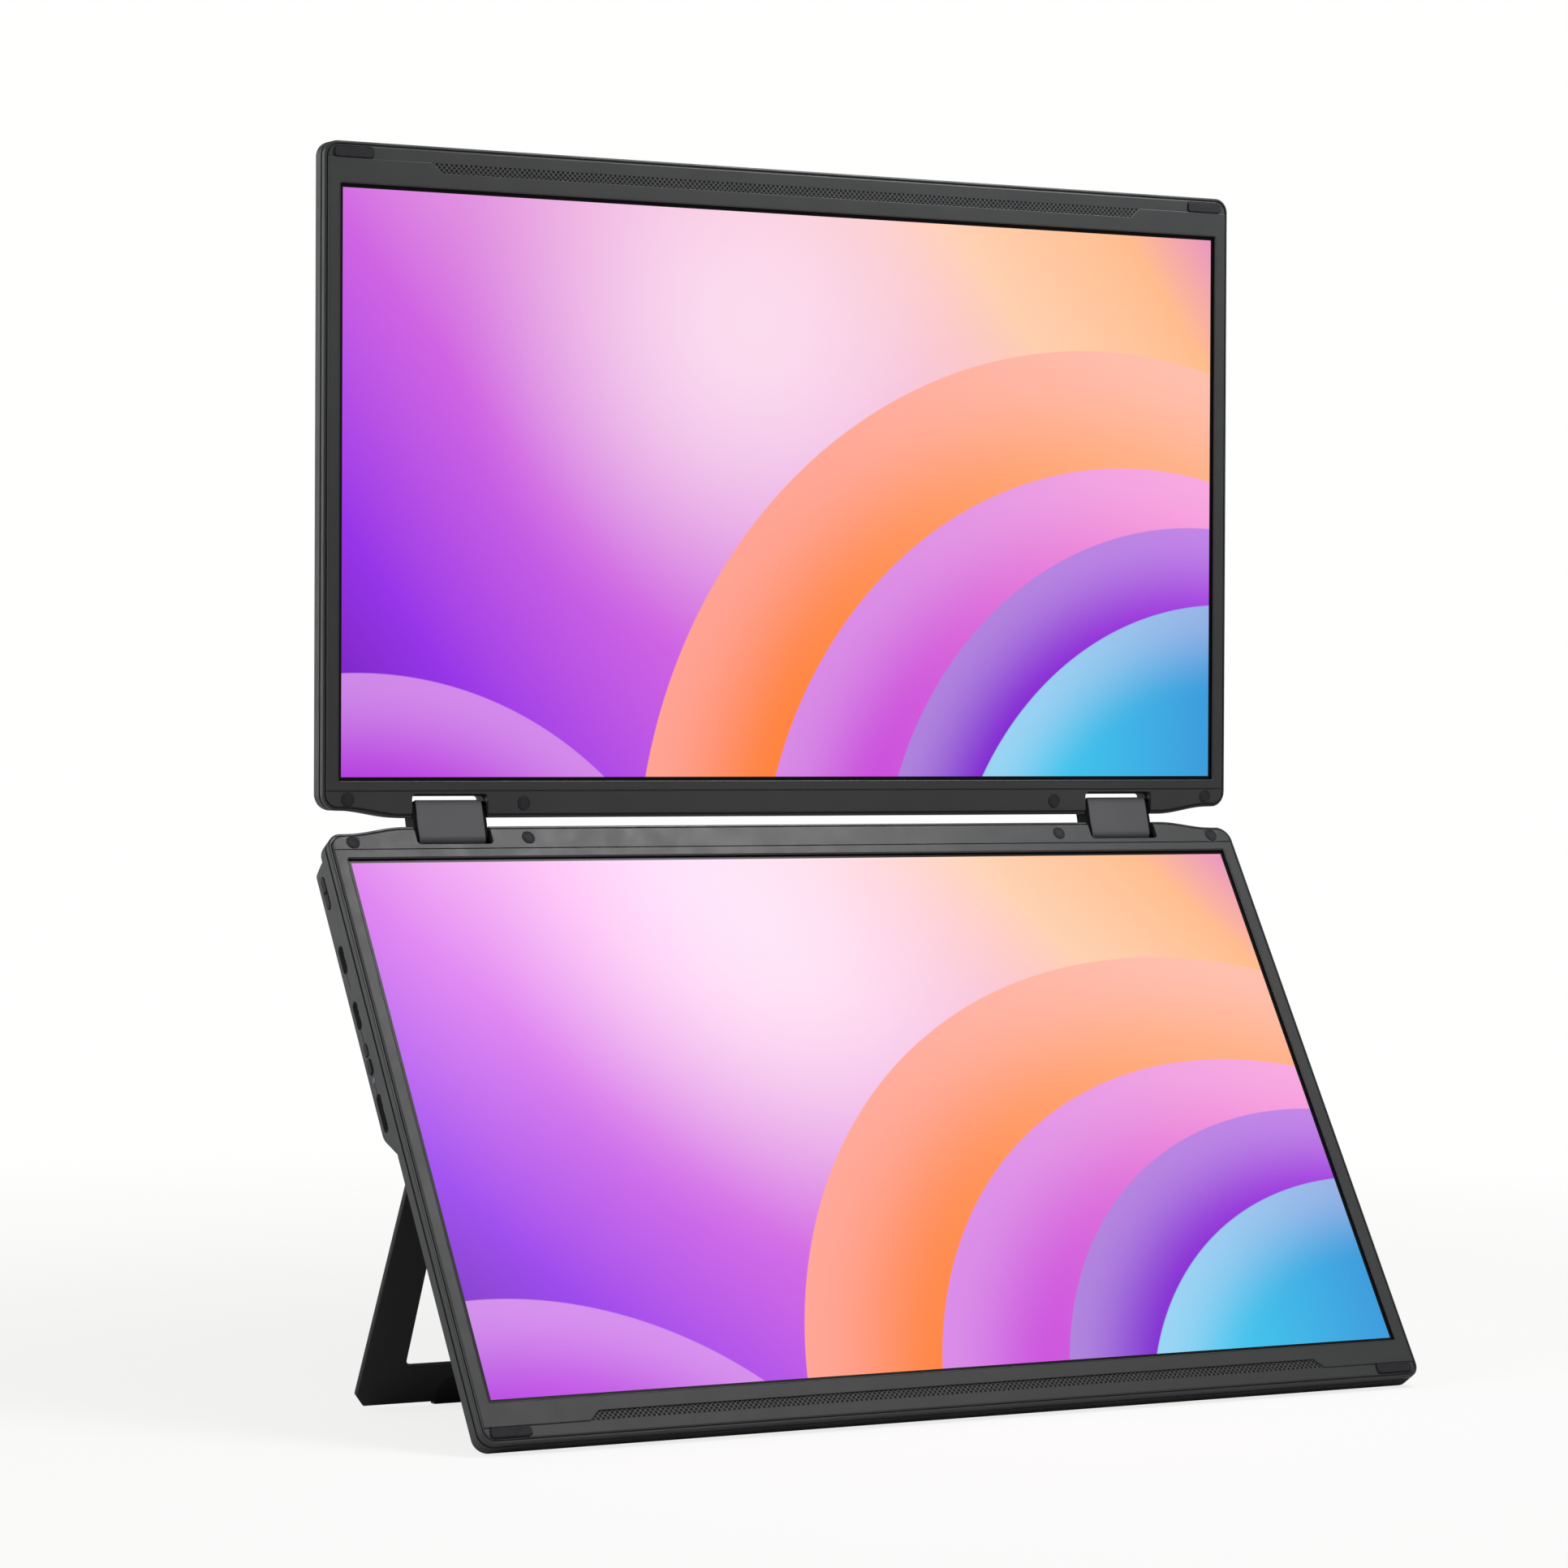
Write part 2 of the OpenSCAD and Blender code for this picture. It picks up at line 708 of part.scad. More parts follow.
// Long socket or key opening through the left side wall
module side_slot(span, h, x0 = -half_w - 1, x1 = -half_w + 4) {
    along_x(x0, x1) translate([(span[0] + span[1]) / 2, side_z])
        rounded_rect([span[1] - span[0], h], h / 2 - eps);
}

module speaker_slots(x) {
    for (i = [-4 : 4]) translate([x + i * speaker_pitch, speaker_at[1], -box_t - 1])
        linear_extrude(box_t) rounded_rect(speaker_slot, 0.75);
}

module stand_pockets() {
    for (s = [-1, 1]) block_between(
        [s * stand_hinge_x - stand_pocket_w / 2, stand_pocket_y[0], -box_t - 1],
        [s * stand_hinge_x + stand_pocket_w / 2, stand_pocket_y[1], 0]);
}

module stand_screw_places() {
    for (s = [-1, 1], k = [-1, 1])
        translate([s * stand_hinge_x + k * stand_screw_at[0], stand_screw_at[1], 0]) children();
}

module lower_rear_cover() {
    color(graphite) place_lower() difference() {
        union() {
            difference() {
                union() {
                    rear_tray();
                    difference() {
                        box_form();
                        slab(floor_t, panel_t, wall_t);
                    }
                }
                box_room();
            }
            tray_fittings();
        }
        tray_cuts(notch_d);
        stand_pockets();
        side_slot(rocker_y, key_h + 0.2);
        side_slot(socket_a_y, socket_h);
        side_slot(socket_b_y, socket_h);
        side_slot(key_y, key_h);
        side_slot(lever_y, key_h + 0.2);
        side_slot(video_y, socket_h);
        translate([-half_w - 1, lens_y, side_z]) rotate([0, 90, 0]) cylinder(r = lens_r + 0.05, h = 5);
        for (s = [-1, 1]) speaker_slots(s * speaker_at[0]);
        stand_screw_places() translate([0, 0, -1]) cylinder(r = screw_hole_r, h = 4);
    }
}

module lower_middle_frame() {
    color(graphite) place_lower() middle_frame(notch_d_front_lower);
}

module lower_surround() {
    color(graphite) place_lower() surround(notch_d_front_lower);
}

module lower_glass() {
    color([0.45, 0.2, 0.75]) place_lower() glass();
}

module lower_backlight() {
    color([0.85, 0.86, 0.88]) place_lower() backlight();
}

module lower_grille_strip() {
    color(graphite_dark) place_lower() grille_strip();
}

module lower_corner_pads() {
    color(rubber_grey) place_lower() corner_pads();
}

module lower_screw_plugs() {
    color(rubber_grey) place_lower() screw_plugs();
}

module lower_surround_screws() {
    color(steel) place_lower() surround_screws();
}

module lower_driver_board() {
    color(board_green) place_lower() driver_board(driver_y_lower);
}

module lower_bracket_screws() {
    color(steel) place_lower() bracket_screws();
}

// Main board with its larger chips, under the sockets on the left side
module main_board() {
    z = board_top;
    color(board_green) place_lower() {
        block_between([-half_w + 2.4, box_near + 3.3, z - board_t], [-94, 106, z]);
        for (c = [[-150, 44, 14, 14], [-128, 72, 12, 12], [-150, 78, 9, 7], [-122, 46, 8, 10]])
            block_between([c[0], c[1], z], [c[0] + c[2], c[1] + c[3], z + 1.3]);
        block_between([-112, 96, z], [-98, 100, z + 2]);
    }
}

// Metal socket with a tongue, opening to the left
module socket(span, tongue_w) {
    w = span[1] - span[0] - 0.8;
    h = socket_h - 0.1;
    x0 = -half_w + wall_t + 0.2;
    x1 = x0 + 7.4;
    place_lower() translate([0, (span[0] + span[1]) / 2, side_z]) {
        difference() {
            along_x(x0, x1) rounded_rect([w, h], h / 2 - eps);
            along_x(x0 - 1, x1 - 1.2) rounded_rect([w - 0.7, h - 0.7], h / 2 - 0.36);
        }
        block_between([x0 + 1, -tongue_w / 2, -0.35], [x1 - 1, tongue_w / 2, 0.35]);
    }
}

module power_socket() {
    color(steel) socket(socket_a_y, 6.6);
}

module signal_socket() {
    color(steel) socket(socket_b_y, 6.6);
}

module video_socket() {
    color(steel) socket(video_y, 9.4);
}

// Push switches behind the rocker, the key and the lever
module side_switches() {
    x0 = -half_w + switch_in;
    color([0.8, 0.8, 0.78]) place_lower()
        for (y = switch_y) block_between([x0, y - switch_size[1] / 2, board_top],
                                         [x0 + switch_size[0], y + switch_size[1] / 2, side_z + 1]);
}

module status_lens() {
    color([0.6, 0.75, 0.9]) place_lower() translate([-half_w - 0.05, lens_y, side_z])
        rotate([0, 90, 0]) cylinder(r = lens_r, h = 4);
}

module speaker(x) {
    color(black_plastic) place_lower() {
        translate([x - speaker_size[0] / 2, speaker_at[1] - speaker_size[1] / 2, -box_t + box_in + 0.4])
            cube([speaker_size[0], speaker_size[1], box_t - box_in]);
        translate([x, speaker_at[1], -box_t + box_in + 0.1]) linear_extrude(0.3)
            rounded_rect(speaker_cone, speaker_cone[1] / 2 - 0.1);
    }
}

// Key with a rounded face that stands a little proud of the side
module side_key(span, h, depth, proud) {
    face = -half_w - proud;
    side_slot([span[0] + key_gap, span[1] - key_gap], h - 2 * key_gap, face, face + depth);
}

// Pivot pin moulded on a key, across the side wall
module key_pivot(span) {
    translate([-half_w + pivot_in, (span[0] + span[1]) / 2, side_z - pivot_h / 2])
        cylinder(r = pivot_r, h = pivot_h);
}

module volume_rocker() {
    mid = (rocker_y[0] + rocker_y[1]) / 2;
    color(black_plastic) place_lower() {
        difference() {
            side_key(rocker_y, key_h + 0.2, 3.0, 0.25);
            block_between([-half_w - 1, mid - 0.3, -10], [-half_w + 0.4, mid + 0.3, 10]);
        }
        key_pivot(rocker_y);
    }
}

module power_key() {
    color(black_plastic) place_lower() side_key(key_y, key_h, 3.1, 0.25);
}

module menu_lever() {
    color(black_plastic) place_lower() {
        side_key(lever_y, key_h + 0.2, 3.2, 0.5);
        key_pivot(lever_y);
    }
}

// ---------------------------------------------------------------- stand

module at_stand_hinge(s) {
    translate([s * stand_hinge_x, 0, 0]) children();
}

// Steel bracket in its pocket under the box: base and two ears for the pin
module stand_bracket(s) {
    e0 = knuckle_w / 2 + stand_ear_gap;
    color(steel) place_lower() difference() {
        at_stand_hinge(s) {
            block_between([-e0 - stand_ear_t, stand_base_y[0], -stand_base_t],
                          [e0 + stand_ear_t, stand_base_y[1], 0]);
            for (k = [-1, 1]) scale([k, 1, 1]) along_x(e0, e0 + stand_ear_t) {
                translate([stand_y, stand_z]) circle(stand_ear_r);
                translate([stand_y - stand_ear_r, stand_z]) square([2 * stand_ear_r, -stand_z]);
            }
        }
        at_stand_hinge(s) along_x(-stand_pocket_w, stand_pocket_w) translate([stand_y, stand_z])
            circle(stand_pin_r + 0.02);
        stand_screw_places() translate([0, 0, -1]) cylinder(r = screw_hole_r, h = 2);
    }
}

module stand_pin(s) {
    reach = knuckle_w / 2 + stand_ear_gap + stand_ear_t;
    color(steel) place_lower() at_stand_hinge(s) along_x(-reach, reach)
        translate([stand_y, stand_z]) circle(stand_pin_r);
}

// Screws put in from inside the back cover
module stand_screws() {
    color(steel) place_lower() stand_screw_places() {
        translate([0, 0, floor_t]) cylinder(r = screw_head_r, h = screw_head_t);
        translate([0, 0, -stand_base_t + 0.05]) cylinder(r = screw_r, h = floor_t + stand_base_t);
    }
}

// Drawing of the stand's plate: y runs from the pins to the foot
module stand_2d() {
    w0 = stand_top_half_w;
    w1 = stand_half_w;
    difference() {
        polygon([[-w0 + 3, stand_root], [w0 - 3, stand_root], [w0, stand_root + 3],
                 [w1, stand_len - stand_corner[1]], [w1 - stand_corner[0], stand_len],
                 [-w1 + stand_corner[0], stand_len], [-w1, stand_len - stand_corner[1]],
                 [-w0, stand_root + 3]]);
        translate([0, (stand_window_top + stand_len - bar_h) / 2])
            rounded_rect([2 * (stand_half_w - 0.8 - leg_w), stand_len - bar_h - stand_window_top], 2.5);
    }
}

module stand_frame() {
    color(graphite_dark) place_stand() difference() {
        union() {
            translate([0, 0, stand_face - stand_t]) linear_extrude(stand_t) stand_2d();
            for (s = [-1, 1]) at_stand_hinge(s) {
                along_x(-knuckle_w / 2, knuckle_w / 2) circle(knuckle_r);
                block_between([-knuckle_w / 2, 0, stand_face - stand_t],
                              [knuckle_w / 2, stand_root + 1, knuckle_r - 0.1]);
            }
        }
        for (s = [-1, 1]) at_stand_hinge(s) along_x(-knuckle_w, knuckle_w) circle(stand_pin_r + run_gap);
        for (s = [-1, 1]) foot_pad_form(s, 0.05, stand_face - 1.2, stand_face + 1);
    }
}

// Rubber foot let into the face of the plate and round its lower edge
module foot_pad_form(s, clear, z0, z1) {
    w = foot_pad_x[1] - foot_pad_x[0] + 2 * clear;
    translate([s * (foot_pad_x[0] + foot_pad_x[1]) / 2, stand_len - foot_pad_h - clear, z0])
        linear_extrude(z1 - z0) difference() {
            translate([-w / 2, 0]) square([w, foot_pad_h + 4]);
            for (k = [-1, 1]) translate([k * w / 2, 0]) difference() {
                square(2 * foot_pad_r, center = true);
                translate([-k * foot_pad_r, foot_pad_r]) circle(foot_pad_r);
            }
        }
}

module stand_foot_pads() {
    color(rubber_grey) intersection() {
        place_stand() for (s = [-1, 1]) union() {
            foot_pad_form(s, 0, stand_face - 1.2, stand_face + foot_pad_proud);
            translate([s * (foot_pad_x[0] + foot_pad_x[1]) / 2 - (foot_pad_x[1] - foot_pad_x[0]) / 2,
                       stand_len, stand_face - stand_t])
                cube([foot_pad_x[1] - foot_pad_x[0], 4, stand_t]);
        }
        block_between([-half_w, -panel_h, 0], [half_w, panel_h, panel_h]);
    }
}

// ---------------------------------------------------------------- nodes

upper_rear_cover();
upper_middle_frame();
upper_surround();
upper_glass();
upper_backlight();
upper_grille_strip();
upper_corner_pads();
upper_screw_plugs();
upper_surround_screws();
upper_driver_board();
upper_hinge_bracket(-1);  // upper_hinge_bracket_left
upper_hinge_bracket(1);  // upper_hinge_bracket_right
upper_bracket_screws();
upper_axle(-1);  // upper_axle_left
upper_axle(1);  // upper_axle_right
lower_rear_cover();
lower_middle_frame();
lower_surround();
lower_glass();
lower_backlight();
lower_grille_strip();
lower_corner_pads();
lower_screw_plugs();
lower_surround_screws();
lower_driver_board();
lower_hinge_bracket(-1);  // lower_hinge_bracket_left
lower_hinge_bracket(1);  // lower_hinge_bracket_right
lower_bracket_screws();
lower_axle(-1);  // lower_axle_left
lower_axle(1);  // lower_axle_right
hinge_link(-1);  // hinge_link_left
hinge_link(1);  // hinge_link_right
hinge_front_cover(-1);  // hinge_front_cover_left
hinge_front_cover(1);  // hinge_front_cover_right
hinge_back_cover(-1);  // hinge_back_cover_left
hinge_back_cover(1);  // hinge_back_cover_right
hinge_washers();
main_board();
power_socket();
signal_socket();
video_socket();
side_switches();
status_lens();
speaker(-speaker_at[0]);  // speaker_left
speaker(speaker_at[0]);  // speaker_right
volume_rocker();
power_key();
menu_lever();
stand_bracket(-1);  // stand_bracket_left
stand_bracket(1);  // stand_bracket_right
stand_pin(-1);  // stand_pin_left
stand_pin(1);  // stand_pin_right
stand_screws();
stand_frame();
stand_foot_pads();
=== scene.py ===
"""Looks of a stacked dual-screen extender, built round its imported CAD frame.

Two slim displays are joined by a pair of two-axle hinge blocks, and the lower
one carries an electronics box with its sockets and keys, and a folding stand.
Each sub-assembly is a class: its sizes are its fields, and its methods model
the pieces and give them their finish. Sizes are in millimetres until a piece
is placed.
"""

from __future__ import annotations

import json
import logging
import math
from dataclasses import dataclass, field
from enum import Enum
from itertools import pairwise
from typing import Any, Callable, Iterable, Mapping, Sequence

import bpy
from mathutils import Matrix, Vector

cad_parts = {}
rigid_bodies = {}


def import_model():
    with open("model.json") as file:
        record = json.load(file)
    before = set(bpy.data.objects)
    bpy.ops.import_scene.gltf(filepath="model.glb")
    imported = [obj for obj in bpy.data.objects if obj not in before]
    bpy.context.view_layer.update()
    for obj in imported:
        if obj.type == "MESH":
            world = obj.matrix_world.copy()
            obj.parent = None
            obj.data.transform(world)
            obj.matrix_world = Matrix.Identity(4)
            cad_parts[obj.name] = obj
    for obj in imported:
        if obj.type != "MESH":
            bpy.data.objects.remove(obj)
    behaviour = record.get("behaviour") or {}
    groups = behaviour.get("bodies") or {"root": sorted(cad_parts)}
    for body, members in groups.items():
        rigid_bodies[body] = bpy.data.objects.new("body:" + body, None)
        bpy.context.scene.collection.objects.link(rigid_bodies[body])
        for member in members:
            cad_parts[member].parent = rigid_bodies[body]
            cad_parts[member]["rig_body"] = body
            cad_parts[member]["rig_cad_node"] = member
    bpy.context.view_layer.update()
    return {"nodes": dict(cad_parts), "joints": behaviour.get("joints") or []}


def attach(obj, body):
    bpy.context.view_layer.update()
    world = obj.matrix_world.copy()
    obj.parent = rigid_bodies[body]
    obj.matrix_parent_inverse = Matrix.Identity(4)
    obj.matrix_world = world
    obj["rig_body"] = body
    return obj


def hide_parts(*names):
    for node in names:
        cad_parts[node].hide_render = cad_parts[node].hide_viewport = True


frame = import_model()

LOG = logging.getLogger("extender")
MM = 0.001
SMOOTH_ANGLE = math.radians(32)
CREASE_ANGLE = math.radians(40)
NEAR = 0.01
SIDES = (-1, 1)

Colour = tuple[float, float, float]
Drawing = list[Vector]
Piece = bpy.types.Object
Test = Callable[[Vector, Vector], bool]


class Body(Enum):
    """The bodies that pieces ride on."""

    LOWER = "lower_display"
    UPPER = "upper_display"
    LINKS = "hinge_links"
    STAND = "stand"
    ROCKER = "volume_rocker"
    POWER = "power_key"
    LEVER = "menu_lever"


class Pick(Enum):
    """What a selection on the bench is made of."""

    EDGES = "EDGE"
    FACES = "FACE"


# ------------------------------------------------------------ drawings


def arc(x: float, y: float, r: float, start: float, end: float, steps: int) -> Drawing:
    """Draws points along an arc.

    Args:
        x: Centre along x.
        y: Centre along y.
        r: Radius.
        start: First angle, in degrees.
        end: Last angle, in degrees.
        steps: Number of chords.

    Returns:
        The points from the first angle to the last.
    """
    angles = [math.radians(start + (end - start) * i / steps) for i in range(steps + 1)]
    return [Vector((x + r * math.cos(a), y + r * math.sin(a))) for a in angles]


def rounded_rect(low: Sequence[float], high: Sequence[float], r: float, steps: int = 5) -> Drawing:
    """Draws a rectangle with round corners.

    Args:
        low: Its lower left corner.
        high: Its upper right corner.
        r: Corner radius.
        steps: Chords in each corner.

    Returns:
        The outline, anticlockwise.
    """
    return (
        arc(high[0] - r, low[1] + r, r, -90, 0, steps)
        + arc(high[0] - r, high[1] - r, r, 0, 90, steps)
        + arc(low[0] + r, high[1] - r, r, 90, 180, steps)
        + arc(low[0] + r, low[1] + r, r, 180, 270, steps)
    )


def stadium(low: Sequence[float], high: Sequence[float], steps: int = 12) -> Drawing:
    """Draws a long hole with half-round ends.

    Args:
        low: Its lower left corner.
        high: Its upper right corner.
        steps: Chords in each end.

    Returns:
        The outline.
    """
    wide, tall = high[0] - low[0], high[1] - low[1]
    middle = ((low[0] + high[0]) / 2, (low[1] + high[1]) / 2)
    r, reach = min(wide, tall) / 2, abs(wide - tall) / 2
    ends = arc(reach, 0, r, -90, 90, steps) + arc(-reach, 0, r, 90, 270, steps)
    turned = ends if wide > tall else [Vector((-p.y, p.x)) for p in ends]
    return [p + Vector(middle) for p in turned]


def polygon(*points: tuple[float, float]) -> Drawing:
    """Draws a plain outline through the given corners."""
    return [Vector(p) for p in points]


def circle(x: float, y: float, r: float) -> Drawing:
    """Draws a whole circle with 24 corners."""
    return arc(x, y, r, 0, 345, 23)


def above(z: float) -> Test:
    """Makes the test for edges at a height or above it."""
    return lambda middle, _: middle.z > z - NEAR


def below(z: float) -> Test:
    """Makes the test for edges at a height or below it."""
    return lambda middle, _: middle.z < z + NEAR


# ------------------------------------------------------------ modelling bench


class Bench:
    """The modelling bench: each step uses Blender's own tools on one piece."""

    @staticmethod
    def clear() -> None:
        """Goes back to object mode with nothing selected."""
        if bpy.context.mode != "OBJECT":
            bpy.ops.object.mode_set(mode="OBJECT")
        bpy.ops.object.select_all(action="DESELECT")

    @staticmethod
    def take(*pieces: Piece) -> None:
        """Selects these pieces alone; the first is the active one."""
        Bench.clear()
        for piece in pieces:
            piece.select_set(True)
        bpy.context.view_layer.objects.active = pieces[0]

    @staticmethod
    def settle(piece: Piece) -> Piece:
        """Moves a piece's place, turn and scale into its mesh."""
        Bench.take(piece)
        bpy.ops.object.transform_apply(location=True, rotation=True, scale=True)
        return piece

    @staticmethod
    def edit(piece: Piece) -> None:
        """Opens a piece for editing with all of it selected."""
        Bench.take(piece)
        bpy.ops.object.mode_set(mode="EDIT")
        bpy.ops.mesh.select_all(action="SELECT")

    @staticmethod
    def name(piece: Piece, name: str) -> Piece:
        """Names a piece and its mesh."""
        piece.name = name
        piece.data.name = name
        return piece

    @staticmethod
    def solid(name: str, drawing: Drawing, low: float, high: float) -> Piece:
        """Draws an outline corner by corner, fills it and raises it to a solid.

        Args:
            name: Name of the piece.
            drawing: The outline, in x and y.
            low: Height of the drawing.
            high: Height of the top.

        Returns:
            The solid, with its faces outwards.
        """
        points = [Vector((p.x, p.y, low)) for p in drawing]
        Bench.clear()
        bpy.ops.mesh.primitive_plane_add(size=0.1, location=points[0])
        piece = Bench.settle(bpy.context.active_object)
        bpy.ops.object.mode_set(mode="EDIT")
        bpy.ops.mesh.select_mode(type="VERT")
        bpy.ops.mesh.select_all(action="SELECT")
        bpy.ops.mesh.merge(type="CENTER")
        for here, there in pairwise(points):
            bpy.ops.mesh.extrude_vertices_move(
                TRANSFORM_OT_translate={"value": there - here, "orient_type": "GLOBAL"}
            )
        bpy.ops.mesh.select_all(action="SELECT")
        bpy.ops.mesh.edge_face_add()
        bpy.ops.mesh.select_mode(type="FACE")
        bpy.ops.mesh.select_all(action="SELECT")
        bpy.ops.mesh.extrude_region_move(
            TRANSFORM_OT_translate={"value": (0, 0, high - low), "orient_type": "GLOBAL"}
        )
        bpy.ops.mesh.select_all(action="SELECT")
        bpy.ops.mesh.normals_make_consistent(inside=False)
        Bench.clear()
        return Bench.name(piece, name)

    @staticmethod
    def bar(name: str, drawing: Drawing, start: float, end: float) -> Piece:
        """Makes a solid from a drawing in y and z, drawn out along x.

        Args:
            name: Name of the piece.
            drawing: The section, in y and z.
            start: First place along x.
            end: Last place along x.

        Returns:
            The solid.
        """
        piece = Bench.solid(name, drawing, start, end)
        piece.matrix_world = Matrix(((0, 0, 1, 0), (1, 0, 0, 0), (0, 1, 0, 0), (0, 0, 0, 1)))
        return Bench.settle(piece)

    @staticmethod
    def block(name: str, low: Sequence[float], high: Sequence[float]) -> Piece:
        """Adds a block between two corners, as stock for another shape.

        Args:
            name: Name of the piece.
            low: Its lower left near corner.
            high: The opposite corner.

        Returns:
            The block.
        """
        Bench.clear()
        low_corner, high_corner = Vector(low), Vector(high)
        bpy.ops.mesh.primitive_cube_add(size=1, location=(low_corner + high_corner) / 2)
        piece = bpy.context.active_object
        piece.scale = high_corner - low_corner
        return Bench.name(Bench.settle(piece), name)

    @staticmethod
    def pair(
        name: str, x: float, half: float, low: Sequence[float], high: Sequence[float]
    ) -> list[Piece]:
        """Adds two blocks, one to each side.

        Args:
            name: Name of both.
            x: How far out their middles are.
            half: Half their width.
            low: Their least y and z.
            high: Their greatest y and z.

        Returns:
            Both blocks.
        """
        ends = [(side * x - half, side * x + half) for side in SIDES]
        return [Bench.block(name, (left, *low), (right, *high)) for left, right in ends]

    @staticmethod
    def drum(
        name: str, centre: Sequence[float], r: float, low: float, high: float, sides: int = 32
    ) -> Piece:
        """Adds an upright drum between two heights.

        Args:
            name: Name of the piece.
            centre: Its middle in x and y.
            r: Radius.
            low: Height of its foot.
            high: Height of its top.
            sides: Number of sides.

        Returns:
            The drum.
        """
        Bench.clear()
        bpy.ops.mesh.primitive_cylinder_add(
            vertices=sides, radius=r, depth=high - low, location=(*centre, (low + high) / 2)
        )
        return Bench.name(Bench.settle(bpy.context.active_object), name)

    @staticmethod
    def pick(piece: Piece, kind: Pick, test: Test) -> int:
        """Opens a piece for editing with some of its edges or faces selected.

        Args:
            piece: The piece.
            kind: Edges or faces.
            test: Told an edge's middle and direction, or a face's centre and
                normal, it says whether the element is wanted.

        Returns:
            How many elements are selected.
        """
        Bench.take(piece)
        bpy.ops.object.mode_set(mode="EDIT")
        bpy.ops.mesh.select_mode(type=kind.value)
        bpy.ops.mesh.select_all(action="DESELECT")
        bpy.ops.object.mode_set(mode="OBJECT")
        mesh = piece.data
        count = 0
        if kind is Pick.EDGES:
            for edge in mesh.edges:
                a, b = (mesh.vertices[i].co for i in edge.vertices)
                edge.select = test((a + b) / 2, (b - a).normalized())
                count += edge.select
        else:
            for face in mesh.polygons:
                face.select = test(face.center, face.normal)
                count += face.select
        bpy.ops.object.mode_set(mode="EDIT")
        return count

    @staticmethod
    def bevel(piece: Piece, width: float, segments: int, test: Test) -> Piece:
        """Rounds the chosen edges of a piece.

        Args:
            piece: The piece.
            width: Width of the bevel.
            segments: Number of strips.
            test: Says which edges, from their middle and direction.

        Returns:
            The same piece.
        """
        if Bench.pick(piece, Pick.EDGES, test):
            bpy.ops.mesh.bevel(offset=width, segments=segments, affect="EDGES", clamp_overlap=False)
        Bench.clear()
        return piece

    @staticmethod
    def modifier(piece: Piece, kind: str, **settings: Any) -> Piece:
        """Adds a modifier with its settings and applies it.

        Args:
            piece: The piece.
            kind: The modifier's type.
            **settings: Its settings by name.

        Returns:
            The same piece.
        """
        Bench.take(piece)
        bpy.ops.object.modifier_add(type=kind)
        added = piece.modifiers[-1]
        for key, value in settings.items():
            setattr(added, key, value)
        bpy.ops.object.modifier_apply(modifier=added.name)
        return piece

    @staticmethod
    def join(first: Piece, *others: Piece) -> Piece:
        """Joins pieces into the first."""
        if others:
            Bench.take(first, *others)
            bpy.ops.object.join()
        return first

    @staticmethod
    def _combine(piece: Piece, tools: Iterable[Piece], operation: str) -> Piece:
        """Cuts or fuses tools, which must not overlap each other, in one go.

        Args:
            piece: The piece that is worked on.
            tools: The tools, which are used up.
            operation: The Boolean modifier's operation.

        Returns:
            The same piece.
        """
        tool = Bench.join(*tools)
        Bench.modifier(piece, "BOOLEAN", operation=operation, solver="EXACT", object=tool)
        bpy.data.objects.remove(tool)
        return piece

    @staticmethod
    def cut(piece: Piece, *tools: Piece) -> Piece:
        """Cuts tools that don't overlap each other out of a piece."""
        return Bench._combine(piece, tools, "DIFFERENCE")

    @staticmethod
    def fuse(piece: Piece, *tools: Piece) -> Piece:
        """Fuses additions that don't overlap each other to a piece."""
        return Bench._combine(piece, tools, "UNION")

    @staticmethod
    def clean(piece: Piece, reach: float = 1e-5, flat: float = 0.5) -> Piece:
        """Merges doubled corners and flat neighbours.

        Args:
            piece: The piece.
            reach: Corners nearer than this become one.
            flat: Faces that meet at less than this angle, in degrees, become one.

        Returns:
            The same piece.
        """
        Bench.edit(piece)
        bpy.ops.mesh.remove_doubles(threshold=reach)
        bpy.ops.mesh.dissolve_limited(angle_limit=math.radians(flat))
        Bench.clear()
        return piece

    @staticmethod
    def soften(piece: Piece, width: float, segments: int = 2) -> Piece:
        """Breaks all sharp edges of a piece by a width, in a number of strips.

        Args:
            piece: The piece.
            width: Width of the broken edges.
            segments: Number of strips in them.

        Returns:
            The same piece.
        """
        return Bench.modifier(
            piece,
            "BEVEL",
            width=width,
            segments=segments,
            limit_method="ANGLE",
            angle_limit=CREASE_ANGLE,
            use_clamp_overlap=False,
            miter_outer="MITER_ARC",
        )

    @staticmethod
    def place(piece: Piece, placement: Matrix) -> Piece:
        """Sets a piece drawn in millimetres into its place in the frame.

        Args:
            piece: The piece.
            placement: Where its own frame is.

        Returns:
            The same piece, shaded.
        """
        piece.matrix_world = placement @ Matrix.Scale(MM, 4)
        return Bench.smooth(Bench.settle(piece))

    @staticmethod
    def smooth(piece: Piece) -> Piece:
        """Splits hollow faces, shades rounds smoothly and keeps the flats flat."""
        Bench.edit(piece)
        bpy.ops.mesh.vert_connect_concave()
        bpy.ops.object.mode_set(mode="OBJECT")
        bpy.ops.object.shade_smooth_by_angle(angle=SMOOTH_ANGLE)
        return Bench.modifier(piece, "WEIGHTED_NORMAL", mode="FACE_AREA", weight=50, keep_sharp=True)

